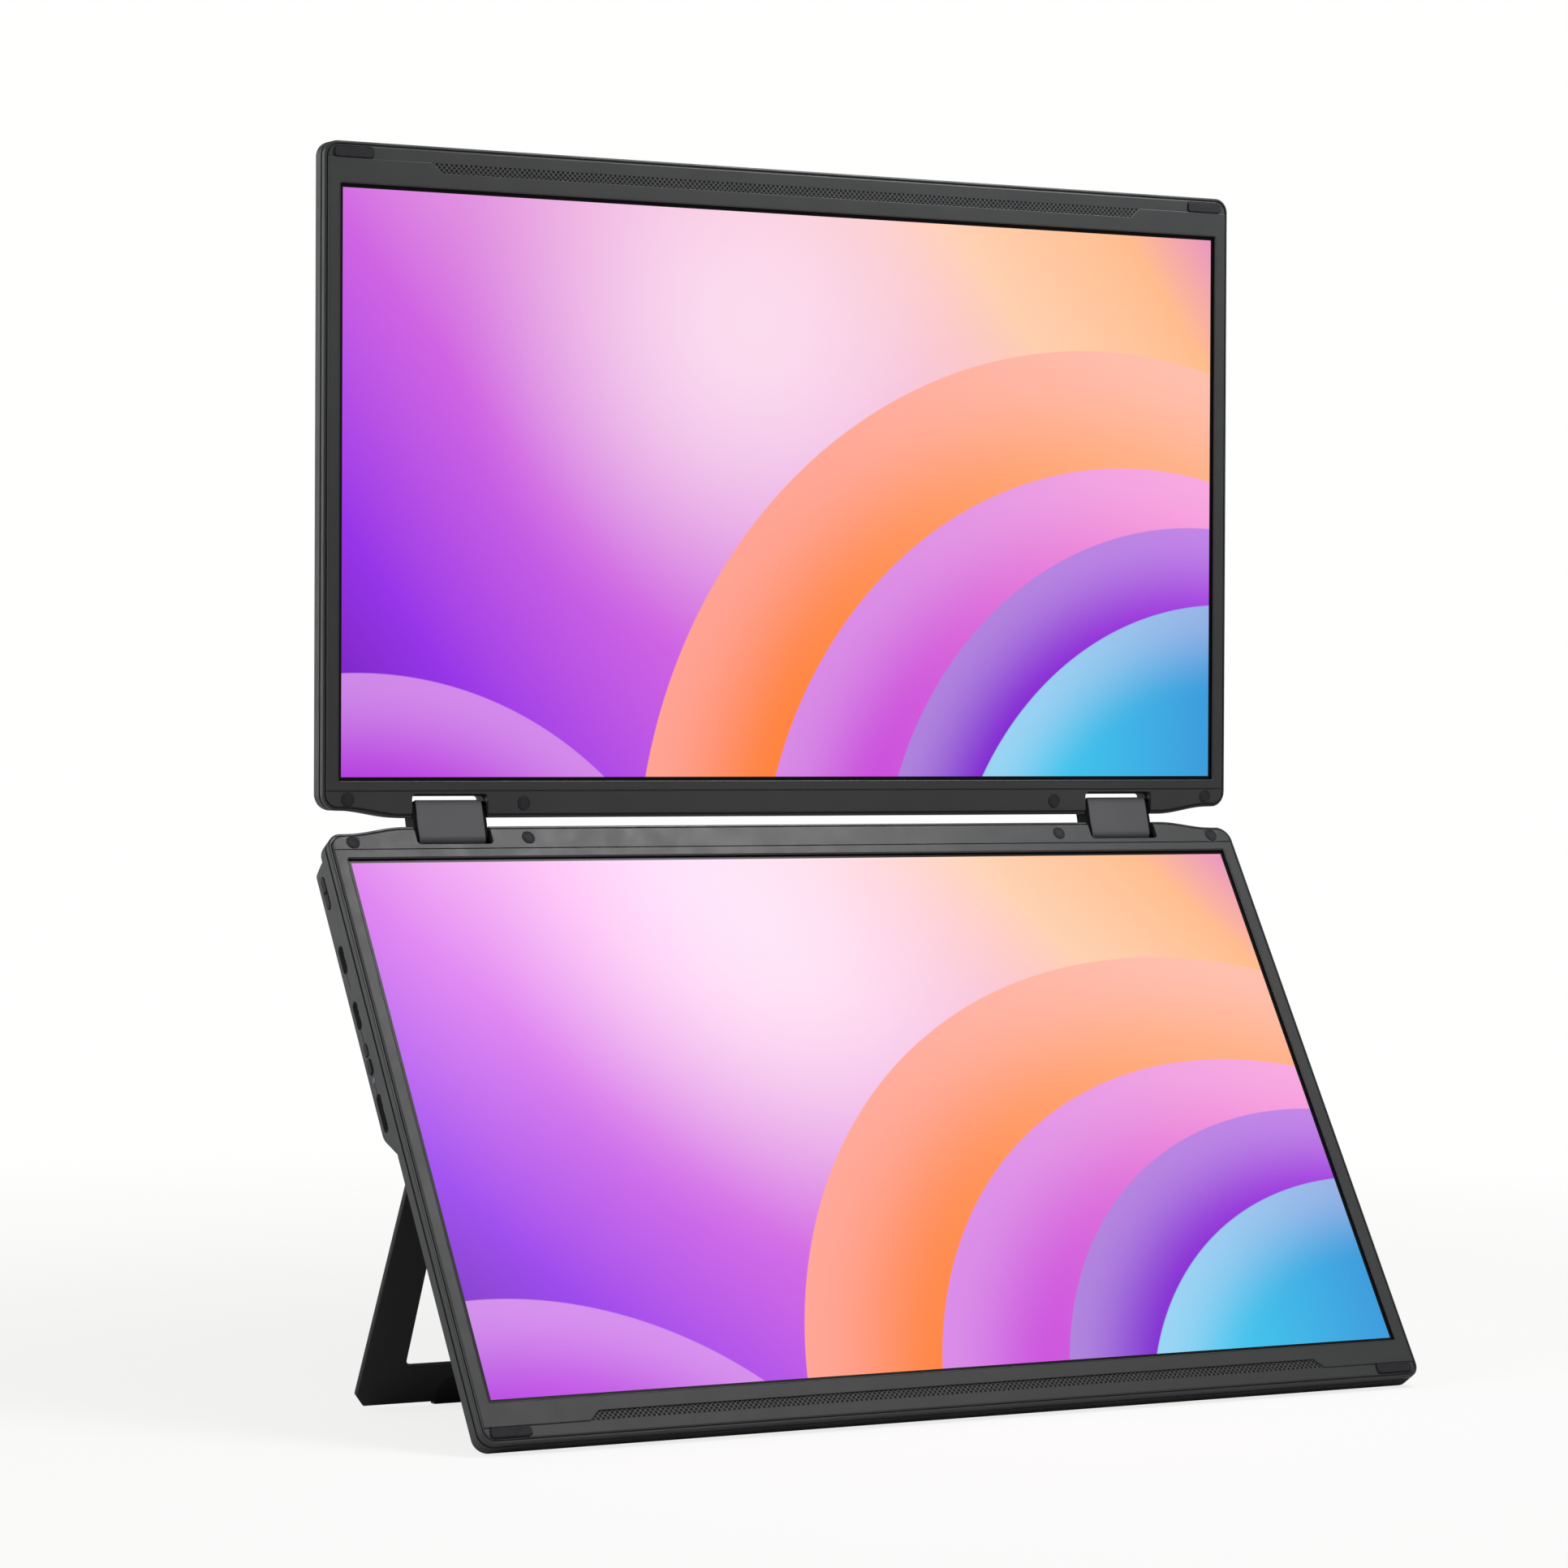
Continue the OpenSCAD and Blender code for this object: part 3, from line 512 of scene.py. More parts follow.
    @staticmethod
    def from_node(name: str, node: str, width: float, segments: int = 2) -> Piece:
        """Copies a CAD node, merges its loose faces and breaks its edges.

        Args:
            name: Name of the new piece.
            node: The CAD node.
            width: Width of the broken edges, in millimetres.
            segments: Number of strips in them.

        Returns:
            The new piece, in place.
        """
        source = frame["nodes"][node]
        piece = source.copy()
        piece.data = source.data.copy()
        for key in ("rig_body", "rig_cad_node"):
            if key in piece:
                del piece[key]
        piece.parent = None
        piece.matrix_world = Matrix.Identity(4)
        bpy.context.scene.collection.objects.link(piece)
        Bench.clean(Bench.name(piece, name), 2e-6, 1)
        Bench.soften(piece, width * MM, segments)
        return Bench.smooth(piece)


# ------------------------------------------------------------ shader maths


class Wire:
    """A value in a material, with sums written as Python sums."""

    def __init__(self, desk: Desk, socket: bpy.types.NodeSocket) -> None:
        """Keeps the desk that the node is on and the socket."""
        self.desk = desk
        self.socket = socket

    def _math(self, operation: str, *others: Wire | float, flip: bool = False) -> Wire:
        """Adds one Math node on this value and the others."""
        values: list[Any] = [self, *others]
        if flip:
            values.reverse()
        return self.desk.add("ShaderNodeMath", {"operation": operation}, *values)

    def __add__(self, other: Wire | float) -> Wire:
        """Adds."""
        return self._math("ADD", other)

    __radd__ = __add__

    def __sub__(self, other: Wire | float) -> Wire:
        """Subtracts."""
        return self._math("SUBTRACT", other)

    def __rsub__(self, other: float) -> Wire:
        """Subtracts this from a number."""
        return self._math("SUBTRACT", other, flip=True)

    def __mul__(self, other: Wire | float) -> Wire:
        """Multiplies."""
        return self._math("MULTIPLY", other)

    __rmul__ = __mul__

    def __truediv__(self, other: Wire | float) -> Wire:
        """Divides."""
        return self._math("DIVIDE", other)

    def __rtruediv__(self, other: float) -> Wire:
        """Divides a number by this."""
        return self._math("DIVIDE", other, flip=True)

    def __lt__(self, other: Wire | float) -> Wire:
        """1 where this is the smaller."""
        return self._math("LESS_THAN", other)

    def __gt__(self, other: Wire | float) -> Wire:
        """1 where this is the greater, also for number < wire."""
        return self._math("GREATER_THAN", other)

    def __abs__(self) -> Wire:
        """Size without sign."""
        return self._math("ABSOLUTE")

    def root(self) -> Wire:
        """Square root."""
        return self._math("SQRT")

    def reach(self, other: Wire) -> Wire:
        """Distance of a place this far across and the other up."""
        return (self * self + other * other).root()

    def sine(self) -> Wire:
        """Sine of an angle in radians."""
        return self._math("SINE")

    def most(self, other: Wire | float) -> Wire:
        """The greater of two."""
        return self._math("MAXIMUM", other)

    def rise(self, low: float, high: float, start: float = 0.0, end: float = 1.0) -> Wire:
        """Goes smoothly from start to end as this goes from low to high.

        Args:
            low: Where the rise starts.
            high: Where it ends.
            start: Value up to there.
            end: Value from there on.

        Returns:
            The wire of the new value.
        """
        node = "ShaderNodeMapRange"
        settings = {"interpolation_type": "SMOOTHSTEP"}
        return self.desk.add(node, settings, self, low, high, start, end)


class Desk:
    """The desk on which one procedural material, or the sky, is put together."""

    def __init__(self, name: str, sky: bool = False) -> None:
        """Starts a material, or a sky, with its shader and its output."""
        self.owner = (bpy.data.worlds if sky else bpy.data.materials).new(name)
        self.owner.use_nodes = True
        self.tree = self.owner.node_tree
        self.tree.nodes.clear()
        self.shader = self.tree.nodes.new("ShaderNodeBackground" if sky else "ShaderNodeBsdfPrincipled")
        output = self.tree.nodes.new("ShaderNodeOutputWorld" if sky else "ShaderNodeOutputMaterial")
        self.tree.links.new(self.shader.outputs[0], output.inputs["Surface"])

    def feed(self, socket: bpy.types.NodeSocket, value: Any) -> None:
        """Links a wire to a socket, or sets the socket's own value.

        Args:
            socket: The socket.
            value: A wire, a number, a vector or a colour.
        """
        if isinstance(value, Wire):
            self.tree.links.new(value.socket, socket)
        elif isinstance(value, (tuple, list)) and len(value) == 3 and socket.type == "RGBA":
            socket.default_value = (*value, 1.0)
        else:
            socket.default_value = value

    def add(
        self,
        kind: str,
        settings: Mapping[str, Any] | None = None,
        *feeds: Any,
        out: str | int = 0,
        **named: Any,
    ) -> Wire:
        """Adds any node.

        Args:
            kind: The node's type.
            settings: Its settings, set first; "stops" are a ramp's colours.
            *feeds: Values or wires for its sockets, in order; None skips one.
            out: The output that is wanted.
            **named: Values or wires for sockets by name, spaces as underscores.

        Returns:
            A wire from that output.
        """
        node = self.tree.nodes.new(kind)
        for key, value in (settings or {}).items():
            if key == "stops":
                self._set_stops(node.color_ramp, value)
            else:
                setattr(node, key, value)
        for socket, value in zip(node.inputs, feeds):
            if value is not None:
                self.feed(socket, value)
        for key, value in named.items():
            self.feed(node.inputs[key.replace("_", " ")], value)
        return Wire(self, node.outputs[out])

    @staticmethod
    def _set_stops(ramp: bpy.types.ColorRamp, stops: Sequence[tuple[float, Colour]]) -> None:
        """Sets a ramp's stops."""
        while len(ramp.elements) > 1:
            ramp.elements.remove(ramp.elements[-1])
        for index, (place, colour) in enumerate(stops):
            stop = ramp.elements[0] if index == 0 else ramp.elements.new(place)
            stop.position = place
            stop.color = (*colour, 1.0)

    def spot(self, placement: Matrix | None = None) -> Wire:
        """The place on the piece in millimetres.

        Args:
            placement: Where the piece's own frame is, or None for the frame's.

        Returns:
            A vector wire in the piece's own frame.
        """
        here = self.add("ShaderNodeTexCoord", out="Object")
        back = (placement or Matrix.Identity(4)).inverted()
        return self.add(
            "ShaderNodeMapping",
            {"vector_type": "POINT"},
            here,
            Location=back.to_translation() / MM,
            Rotation=back.to_euler(),
            Scale=(1 / MM, 1 / MM, 1 / MM),
        )

    def split(self, vector: Wire) -> tuple[Wire, Wire, Wire]:
        """The three parts of a vector."""
        first = self.add("ShaderNodeSeparateXYZ", None, vector)
        node = first.socket.node
        return first, Wire(self, node.outputs[1]), Wire(self, node.outputs[2])

    def noise(self, where: Wire, size: float, detail: float = 3.0, rough: float = 0.5) -> Wire:
        """Even noise with blotches of a given size in millimetres.

        Args:
            where: The place on the piece.
            size: Size of the blotches.
            detail: Octaves of finer noise.
            rough: How strong those are.

        Returns:
            The wire of the noise, from 0 to 1.
        """
        return self.add(
            "ShaderNodeTexNoise", None, Vector=where, Scale=1 / size, Detail=detail, Roughness=rough
        )

    def mix(self, share: Wire | float, low: Any, high: Any) -> Wire:
        """Mixes two colours, whose sockets are the node's seventh and eighth."""
        feeds = (share, None, None, None, None, None, low, high)
        return self.add("ShaderNodeMix", {"data_type": "RGBA"}, *feeds, out=2)

    def bump(self, height: Wire, distance: float, strength: float = 1.0) -> None:
        """Gives the surface small relief; distance is in millimetres.

        Args:
            height: The relief, from 0 to 1.
            distance: Its full height.
            strength: Share of it that is used.
        """
        normal = self.add(
            "ShaderNodeBump", None, Strength=strength, Distance=distance * MM, Height=height
        )
        self.feed(self.shader.inputs["Normal"], normal)

    def surface(self, **values: Any) -> bpy.types.Material | bpy.types.World:
        """Feeds the shader and gives the finished material or sky."""
        for key, value in values.items():
            self.feed(self.shader.inputs[key.replace("_", " ")], value)
        return self.owner


# ------------------------------------------------------------ finishes


@dataclass(frozen=True)
class SatinCoat:
    """Satin paint on a moulded or pressed part, with a very fine grain."""

    name: str
    colour: Colour
    roughness: float = 0.42
    metallic: float = 0.0
    grain: float = 0.22
    relief: float = 0.012
    mottle: float = 0.08
    cloud: float = 38.0
    smear: float = 9.0

    def material(self) -> bpy.types.Material:
        """Makes the material."""
        desk = Desk(self.name)
        spot = desk.spot()
        grain = desk.noise(spot, self.grain, 2.0)
        cloud = desk.noise(spot, self.cloud, 4.0)
        smear = desk.noise(spot, self.smear, 3.0, 0.6)
        dark = tuple(c * (1 - self.mottle) for c in self.colour)
        light = tuple(c * (1 + self.mottle) for c in self.colour)
        tone = cloud.rise(0.35, 0.65) * 0.6 + grain.rise(0.3, 0.7) * 0.4
        desk.bump(grain, self.relief)
        return desk.surface(
            Base_Color=desk.mix(tone, dark, light),
            Roughness=self.roughness + smear.rise(0.3, 0.7, -0.03, 0.04) + grain.rise(0.3, 0.7, 0, 0.03),
            Metallic=self.metallic,
        )


@dataclass(frozen=True)
class Rubber:
    """Matt moulded rubber with a fine pebble."""

    name: str
    colour: Colour
    pebble: float = 0.35
    dust: float = 2.5

    def material(self) -> bpy.types.Material:
        """Makes the material."""
        desk = Desk(self.name)
        spot = desk.spot()
        pebble = desk.add("ShaderNodeTexVoronoi", None, Vector=spot, Scale=1 / self.pebble)
        dust = desk.noise(spot, self.dust, 4.0)
        pale = tuple(c * 1.35 for c in self.colour)
        desk.bump(1 - pebble, 0.03, 0.5)
        return desk.surface(
            Base_Color=desk.mix(dust.rise(0.45, 0.75), self.colour, pale),
            Roughness=0.72 + dust.rise(0.4, 0.7, 0, 0.12),
        )


@dataclass(frozen=True)
class BareMetal:
    """Bare metal with fine working marks."""

    name: str
    colour: Colour
    roughness: float
    mark: float = 0.5
    stain: float = 5.0

    def material(self) -> bpy.types.Material:
        """Makes the material."""
        desk = Desk(self.name)
        spot = desk.spot()
        marks = desk.noise(spot, self.mark, 3.0, 0.6)
        stain = desk.noise(spot, self.stain, 3.0)
        dull = tuple(c * 0.8 for c in self.colour)
        desk.bump(marks, 0.01)
        return desk.surface(
            Base_Color=desk.mix(stain.rise(0.35, 0.7), self.colour, dull),
            Roughness=self.roughness + marks.rise(0.3, 0.7, -0.06, 0.1),
            Metallic=1.0,
        )


@dataclass(frozen=True)
class Moulding:
    """Uncoated moulded plastic."""

    name: str
    colour: Colour
    roughness: float = 0.5
    grain: float = 0.3
    flow: float = 14.0

    def material(self) -> bpy.types.Material:
        """Makes the material."""
        desk = Desk(self.name)
        spot = desk.spot()
        grain = desk.noise(spot, self.grain, 3.0)
        flow = desk.noise(spot, self.flow, 3.0)
        pale = tuple(c * 1.12 + 0.002 for c in self.colour)
        desk.bump(grain, 0.02, 0.6)
        return desk.surface(
            Base_Color=desk.mix(flow.rise(0.3, 0.7), self.colour, pale),
            Roughness=self.roughness + grain.rise(0.3, 0.7, -0.04, 0.06),
        )


@dataclass(frozen=True)
class CircuitBoard:
    """Green solder mask over fine tracks."""

    name: str
    mask: Colour = (0.01, 0.085, 0.045)
    track: Colour = (0.03, 0.16, 0.085)
    speck: float = 0.6

    def material(self) -> bpy.types.Material:
        """Makes the material."""
        desk = Desk(self.name)
        spot = desk.spot()
        weave = desk.add(
            "ShaderNodeTexBrick", None, Vector=spot, Color1=(0, 0, 0), Color2=(1, 1, 1), Scale=0.8
        )
        speck = desk.noise(spot, self.speck, 2.0)
        desk.bump(speck, 0.02, 0.4)
        return desk.surface(
            Base_Color=desk.mix(weave, self.mask, self.track),
            Roughness=0.32 + speck.rise(0.3, 0.7, 0, 0.1),
        )


@dataclass(frozen=True)
class Picture:
    """A lit screen: a generic picture of nested discs, with a black border.

    The picture area is given in the display's own frame. The discs are nested
    round one corner, over a sky that shades from peach to indigo.
    """

    name: str
    placement: Matrix
    width: float
    height: float
    border: float
    upside_down: bool
    margin: float = 0.25
    glow_at: float = 0.44
    glow_r: float = 0.34
    disc_edge: float = 0.0008

    def _across_and_up(self, desk: Desk) -> tuple[Wire, Wire]:
        """Places on the picture in widths, from its lower left corner."""
        x, y, _ = desk.split(desk.spot(self.placement))
        across = (x / self.width) * (-1 if self.upside_down else 1) + 0.5
        up = (y - self.border) / self.width
        ratio = self.height / self.width
        return across, (ratio - up if self.upside_down else up)

    def _sky(self, desk: Desk, across: Wire, up: Wire) -> Wire:
        """The background: warm on the right, deep violet at the upper left.

        Args:
            desk: The desk.
            across: Places across the picture.
            up: Places up the picture.

        Returns:
            Its colour.
        """
        slant = across * 0.62 + up * 0.55
        stops = [
            (0.0, (0.13, 0.005, 0.42)),
            (0.16, (0.30, 0.03, 0.80)),
            (0.34, (0.62, 0.12, 0.76)),
            (0.52, (0.86, 0.42, 0.72)),
            (0.68, (1.0, 0.62, 0.42)),
            (0.84, (1.0, 0.50, 0.26)),
            (1.0, (0.66, 0.16, 0.70)),
        ]
        swirl = (across * 5.1 + up * 2.3).sine() * 0.05
        glow = desk.add("ShaderNodeValToRGB", {"stops": stops}, slant + swirl)
        gap = (across - self.glow_at).reach(up - self.glow_at)
        return desk.mix(gap.rise(0.0, self.glow_r, 0.75, 0.0), glow, (1.0, 0.80, 0.90))

    def _disc(
        self,
        desk: Desk,
        under: Wire,
        places: tuple[Wire, Wire],
        middle: tuple[float, float],
        radius: float,
        inner: Colour,
        outer: Colour,
    ) -> Wire:
        """Lays one shaded disc over what is there.

        Args:
            desk: The desk.
            under: The colour below.
            places: The places across and up.
            middle: The disc's middle, in picture widths.
            radius: Its radius, in picture widths.
            inner: Colour on its left.
            outer: Colour on its right.

        Returns:
            The colour with the disc on it.
        """
        across, up = places
        dx, dy = across - middle[0], up - middle[1]
        gap = dx.reach(dy)
        shade = (dx / radius).rise(-0.95, 0.25)
        disc = desk.mix(shade, inner, outer)
        lit = desk.mix(gap.rise(radius * 0.72, radius, 0.0, 0.28), disc, (1.0, 0.75, 0.95))
        edge = self.disc_edge
        return desk.mix(gap.rise(radius - edge, radius + edge, 1.0, 0.0), under, lit)

    def material(self) -> bpy.types.Material:
        """Makes the material."""
        desk = Desk(self.name)
        places = self._across_and_up(desk)
        across, up = places
        colour = self._sky(desk, across, up)
        discs = [
            ((0.86, -0.10), 0.54, (1.0, 0.20, 0.02), (1.0, 0.42, 0.20)),
            ((0.90, -0.12), 0.44, (0.55, 0.05, 0.72), (0.90, 0.25, 0.66)),
            ((0.98, -0.12), 0.38, (0.19, 0.01, 0.62), (0.36, 0.03, 0.74)),
            ((1.02, -0.16), 0.34, (0.05, 0.62, 0.88), (0.04, 0.27, 0.68)),
            ((0.02, -0.30), 0.40, (0.22, 0.01, 0.60), (0.50, 0.05, 0.76)),
        ]
        for middle, radius, inner, outer in discs:
            colour = self._disc(desk, colour, places, middle, radius, inner, outer)
        ratio, edge = self.height / self.width, self.margin / self.width
        inside = (abs(across - 0.5) < 0.5 - edge) * (abs(up - ratio / 2) < ratio / 2 - edge)
        lit = desk.mix(inside, (0.0, 0.0, 0.0), colour)
        return desk.surface(
            Base_Color=(0.004, 0.004, 0.004),
            Roughness=0.3,
            Emission_Color=lit,
            Emission_Strength=1.0,
            Specular_IOR_Level=0.2,
        )


class Shop:
    """The paint shop: each finish is mixed once and kept."""

    def __init__(self) -> None:
        """Starts with no material mixed."""
        self.mixed: dict[str, bpy.types.Material] = {}

    def get(self, finish: Any) -> bpy.types.Material:
        """Gives the material of a finish."""
        if finish.name not in self.mixed:
            self.mixed[finish.name] = finish.material()
        return self.mixed[finish.name]

    def coat(self, piece: Piece, finish: Any) -> None:
        """Gives a piece one finish all over."""
        piece.data.materials.clear()
        piece.data.materials.append(self.get(finish))

    def mount(self, piece: Piece, body: Body, node: str) -> None:
        """Gives a coated piece its body and hides the CAD node it stands for.

        Args:
            piece: The piece, in place.
            body: The body that it rides on.
            node: The CAD node that it stands for.
        """
        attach(piece, body.value)
        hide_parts(node)
        LOG.info("%s: %d faces on %s", piece.name, len(piece.data.polygons), body.value)

    def dress(self, piece: Piece, finish: Any, body: Body, node: str) -> None:
        """Gives a new piece its finish and its body, and hides the CAD node it stands for.

        Args:
            piece: The piece, in place.
            finish: Its finish.
            body: The body that it rides on.
            node: The CAD node that it stands for.
        """
        self.coat(piece, finish)
        self.mount(piece, body, node)

    def repaint(self, finish: Any, *nodes: str) -> None:
        """Gives CAD nodes that stay a better finish.

        Args:
            finish: The finish.
            *nodes: Names of the nodes.
        """
        for name in nodes:
            node = frame["nodes"][name]
            if not node.material_slots:
                node.data.materials.append(None)
            for place in node.material_slots:
                place.material = self.get(finish)
            LOG.info("%s: CAD solid kept, finish %s", name, finish.name)


CASING = SatinCoat("graphite_satin", (0.047, 0.049, 0.051))
FRAME = SatinCoat("graphite_frame", (0.044, 0.046, 0.049), roughness=0.38, metallic=0.1)
BEZEL = SatinCoat("graphite_surround", (0.045, 0.047, 0.048), roughness=0.46)
# Black painted in as shade: the groove under the side band and the sunk holes of the grille get it in
# place of their shade.
PAINTED_SHADE_BLACK = Moulding("groove_black", (0.006, 0.006, 0.007), roughness=0.7)
BLACK = Moulding("black_moulding", (0.006, 0.006, 0.007), roughness=0.6)
LATTICE = Moulding("grille_moulding", (0.090, 0.092, 0.096), roughness=0.5)
PAD = Rubber("pad_rubber", (0.014, 0.014, 0.019))
FOOT = Rubber("foot_rubber", (0.012, 0.012, 0.013), pebble=0.6)
STAND = SatinCoat("stand_satin", (0.024, 0.024, 0.025), roughness=0.5)
HINGE = SatinCoat("hinge_satin", (0.112, 0.114, 0.120), roughness=0.42)
STEEL = BareMetal("hinge_steel", (0.36, 0.37, 0.38), 0.38)
BLACKENED = BareMetal("blackened_steel", (0.012, 0.012, 0.013), 0.5)
BRIGHT = BareMetal("bright_steel", (0.58, 0.58, 0.57), 0.25)
BRASS = BareMetal("washer_brass", (0.55, 0.42, 0.20), 0.35)
BOARD = CircuitBoard("board_green")
SWITCH = Moulding("switch_white", (0.55, 0.54, 0.50), roughness=0.4)
REFLECTOR = Moulding("light_guide", (0.60, 0.61, 0.62), roughness=0.35)
LENS = Moulding("lens_smoke", (0.10, 0.13, 0.17), roughness=0.15)


# ------------------------------------------------------------ displays


@dataclass
class Display:
    """One slim display in its own frame: x along the hinge, y from it, z front.

    The lower display is turned half a turn about z, so that its hinge edge is
    on top; its left side as seen by the user is then at plus x.
    """

    body: Body
    prefix: str
    placement: Matrix
    upside_down: bool
    notch_front: float
    screen: tuple[float, float] = (344.2, 193.6)
    thickness: float = 9.0
    side_border: float = 6.6
    hinge_border: float = 13.3
    far_border: float = 14.9
    near_r: float = 5.5
    far_r: float = 5.0
    shoulder_in: float = 150.0
    shoulder_out: float = 7.0
    shoulder_drop: float = 2.5
    shoulder_pull: float = 0.15
    curve_steps: int = 10
    wall: float = 1.4
    floor: float = 1.2
    rear_rim: float = 5.35
    groove_top: float = 6.25
    frame_top: float = 8.0
    rim_top: float = 8.45
    rim_w: float = 0.8
    front_break: float = 0.1
    surround_inset: float = 1.2
    groove_in: float = 0.9
    rear_round: tuple[float, int] = (2.0, 6)
    band_round: tuple[float, int] = (0.5, 4)
    front_round: tuple[float, int] = (0.6, 5)
    edge_break: tuple[float, int] = (0.2, 2)
    step_drop: float = 0.35
    step_overlap: float = 0.3
    step: tuple[float, float] = (6.2, 9.4)
    step_end: float = 0.7
    grille_x: tuple[float, float] = (136.5, 140.0)
    grille_t: float = 0.4
    grille_pitch: float = 1.8
    grille_clear: float = 0.05
    grille_insets: tuple[tuple[float, float], ...] = ((0.13, 0.0), (0.04, -0.2))
    window_margin: float = 1.1
    window_r: float = 0.6
    slope_w: float = 0.25
    slope_d: float = 0.26
    slope_round: tuple[float, int] = (0.24, 1)
    module_side: float = 4.3
    module_near: float = 8.7
    module_past: float = 2.8
    glass_z: tuple[float, float] = (6.8, 7.9)
    glass_clear: float = 0.35
    glass_round: tuple[float, int] = (0.15, 2)
    line_y: float = 9.0
    line_w: float = 0.5
    line_d: float = 0.3
    pad_at: tuple[float, float] = (168.3, 218.2)
    pad_size: tuple[float, float] = (14.2, 3.6)
    pad_proud: float = 0.35
    pad_r: float = 1.2
    pad_raise: float = 0.3
    pad_clear: float = 0.1
    pad_bed: float = 0.22
    pad_round: tuple[float, int] = (0.32, 4)
    plug_at: tuple[tuple[float, float], ...] = ((169.8, 6.2), (105.2, 4.9))
    plug_r: float = 2.3
    plug_proud: float = 0.25
    plug_round: tuple[float, int] = (0.16, 3)
    plug_clear: float = 0.05
    plug_insets: tuple[tuple[float, float], ...] = ((0.55, 0.0), (0.12, -0.12), (0.12, 0.1))
    hinge_x: float = 132.5
    notch_w: float = 28.0
    notch_d: float = 7.2
    notch_r: float = 1.5
    notch_foot: float = -8.0
    wall_sink: float = 0.2
    pocket_x: tuple[float, float] = (1.0, 3.3)
    pocket_y: tuple[float, float] = (0.42, 5.2)
    pocket_top: float = 6.9

    def __post_init__(self) -> None:
        """Works out the sizes that follow from the fields."""
        self.half_w = self.screen[0] / 2 + self.side_border
        self.length = self.hinge_border + self.screen[1] + self.far_border
        self.screen_far = self.hinge_border + self.screen[1]
        self.module_x = self.half_w - self.module_side
        self.module_y = (self.module_near, self.screen_far + self.module_past)

    def label(self, name: str) -> str:
        """Name of one of this display's pieces."""
        return f"{self.prefix}_{name}"

    def finish(self, shop: Shop, piece: Piece, finish: Any, slot: str, node: str) -> None:
        """Sets a piece into its place and dresses it.

        Args:
            shop: The paint shop.
            piece: The piece, drawn in the display's own frame.
            finish: Its finish.
            slot: Not used.
            node: The CAD node that it stands for, without the display's prefix.
        """
        Bench.place(piece, self.placement)
        shop.dress(piece, finish, self.body, self.label(node))

    def outline(self, inset: float) -> Drawing:
        """Draws the display's outline, with shoulders beside the hinges."""
        n = self.curve_steps
        fall = self.half_w - self.shoulder_out - self.shoulder_in
        half: Drawing = []
        for i in range(n + 1):
            t = i / n
            x = self.shoulder_in + fall * t - self.near_r * t * self.shoulder_pull
            half.append(Vector((x, inset + self.shoulder_drop * t * t * (3 - 2 * t))))
        drop = self.shoulder_drop + self.near_r
        half += arc(self.half_w - self.near_r, drop, self.near_r - inset, -90 + 90 / n, 0, n - 1)
        half += arc(self.half_w - self.far_r, self.length - self.far_r, self.far_r - inset, 0, 90, n)
        return half + [Vector((-p.x, p.y)) for p in reversed(half)]

    def slab(self, name: str, low: float, high: float, inset: float) -> Piece:
        """Makes a slab of the display's outline."""
        return Bench.solid(name, self.outline(inset), low, high)

    def notches(self, depth: float, low: float, high: float) -> list[Piece]:
        """Makes cutters for the two hinge notches.

        Args:
            depth: How far they go in from the hinge edge.
            low: Height of their foot.
            high: Height of their top.

        Returns:
            The two cutters.
        """
        tools = []
        for side in SIDES:
            x = side * self.hinge_x
            left, right = x - self.notch_w / 2, x + self.notch_w / 2
            r = self.notch_r
            drawing = (
                polygon((left, -5), (right, -5))
                + arc(right - r, depth - r, r, 0, 90, 5)
                + arc(left + r, depth - r, r, 90, 180, 5)
            )
            tools.append(Bench.solid("notch", drawing, low, high))
        return tools

    def ear_pockets(self) -> list[Piece]:
        """Makes cutters for the ears of the hinge brackets."""
        tools = []
        for side in SIDES:
            for end in SIDES:
                x = side * self.hinge_x + end * self.notch_w / 2
                left, right = sorted((x - end * self.pocket_x[0], x + end * self.pocket_x[1]))
                low = (left, self.pocket_y[0], self.floor)
                tools.append(Bench.block("pocket", low, (right, self.pocket_y[1], self.pocket_top)))
        return tools

    def rear_blank(self) -> Piece:
        """Makes the back cover's tray before it is hollowed."""
        tray = self.slab(self.label("rear_shell"), 0, self.rear_rim, 0)
        Bench.bevel(tray, *self.rear_round, below(0))
        return Bench.bevel(tray, *self.edge_break, above(self.rear_rim))

    def hollow(self, tray: Piece) -> Piece:
        """Hollows the tray and walls the hinge notches.

        Args:
            tray: The tray.

        Returns:
            The same tray.
        """
        Bench.cut(tray, self.slab("room", self.floor, self.thickness, self.wall))
        half, far = self.notch_w / 2 + self.wall, self.notch_d + self.wall
        low, high = (1, self.floor - self.wall_sink), (far, self.rear_rim)
        Bench.fuse(tray, *Bench.pair("wall", self.hinge_x, half, low, high))
        Bench.cut(tray, *self.notches(self.notch_d, self.notch_foot, self.thickness))
        return Bench.cut(tray, *self.ear_pockets())

    def finish_rear(self, shop: Shop, tray: Piece) -> None:
        """Cleans the cover's faces and dresses it."""
        self.finish(shop, Bench.clean(tray), CASING, "casing", "rear_cover")

    def rear_shell(self, shop: Shop) -> None:
        """Models the back cover."""
        self.finish_rear(shop, self.hollow(self.rear_blank()))

    def opening(self, low: float, high: float) -> Piece:
        """Makes the cutter for the display module's opening."""
        return Bench.block(
            "opening",
            (-self.module_x, self.module_y[0], low),
            (self.module_x, self.module_y[1], high),
        )

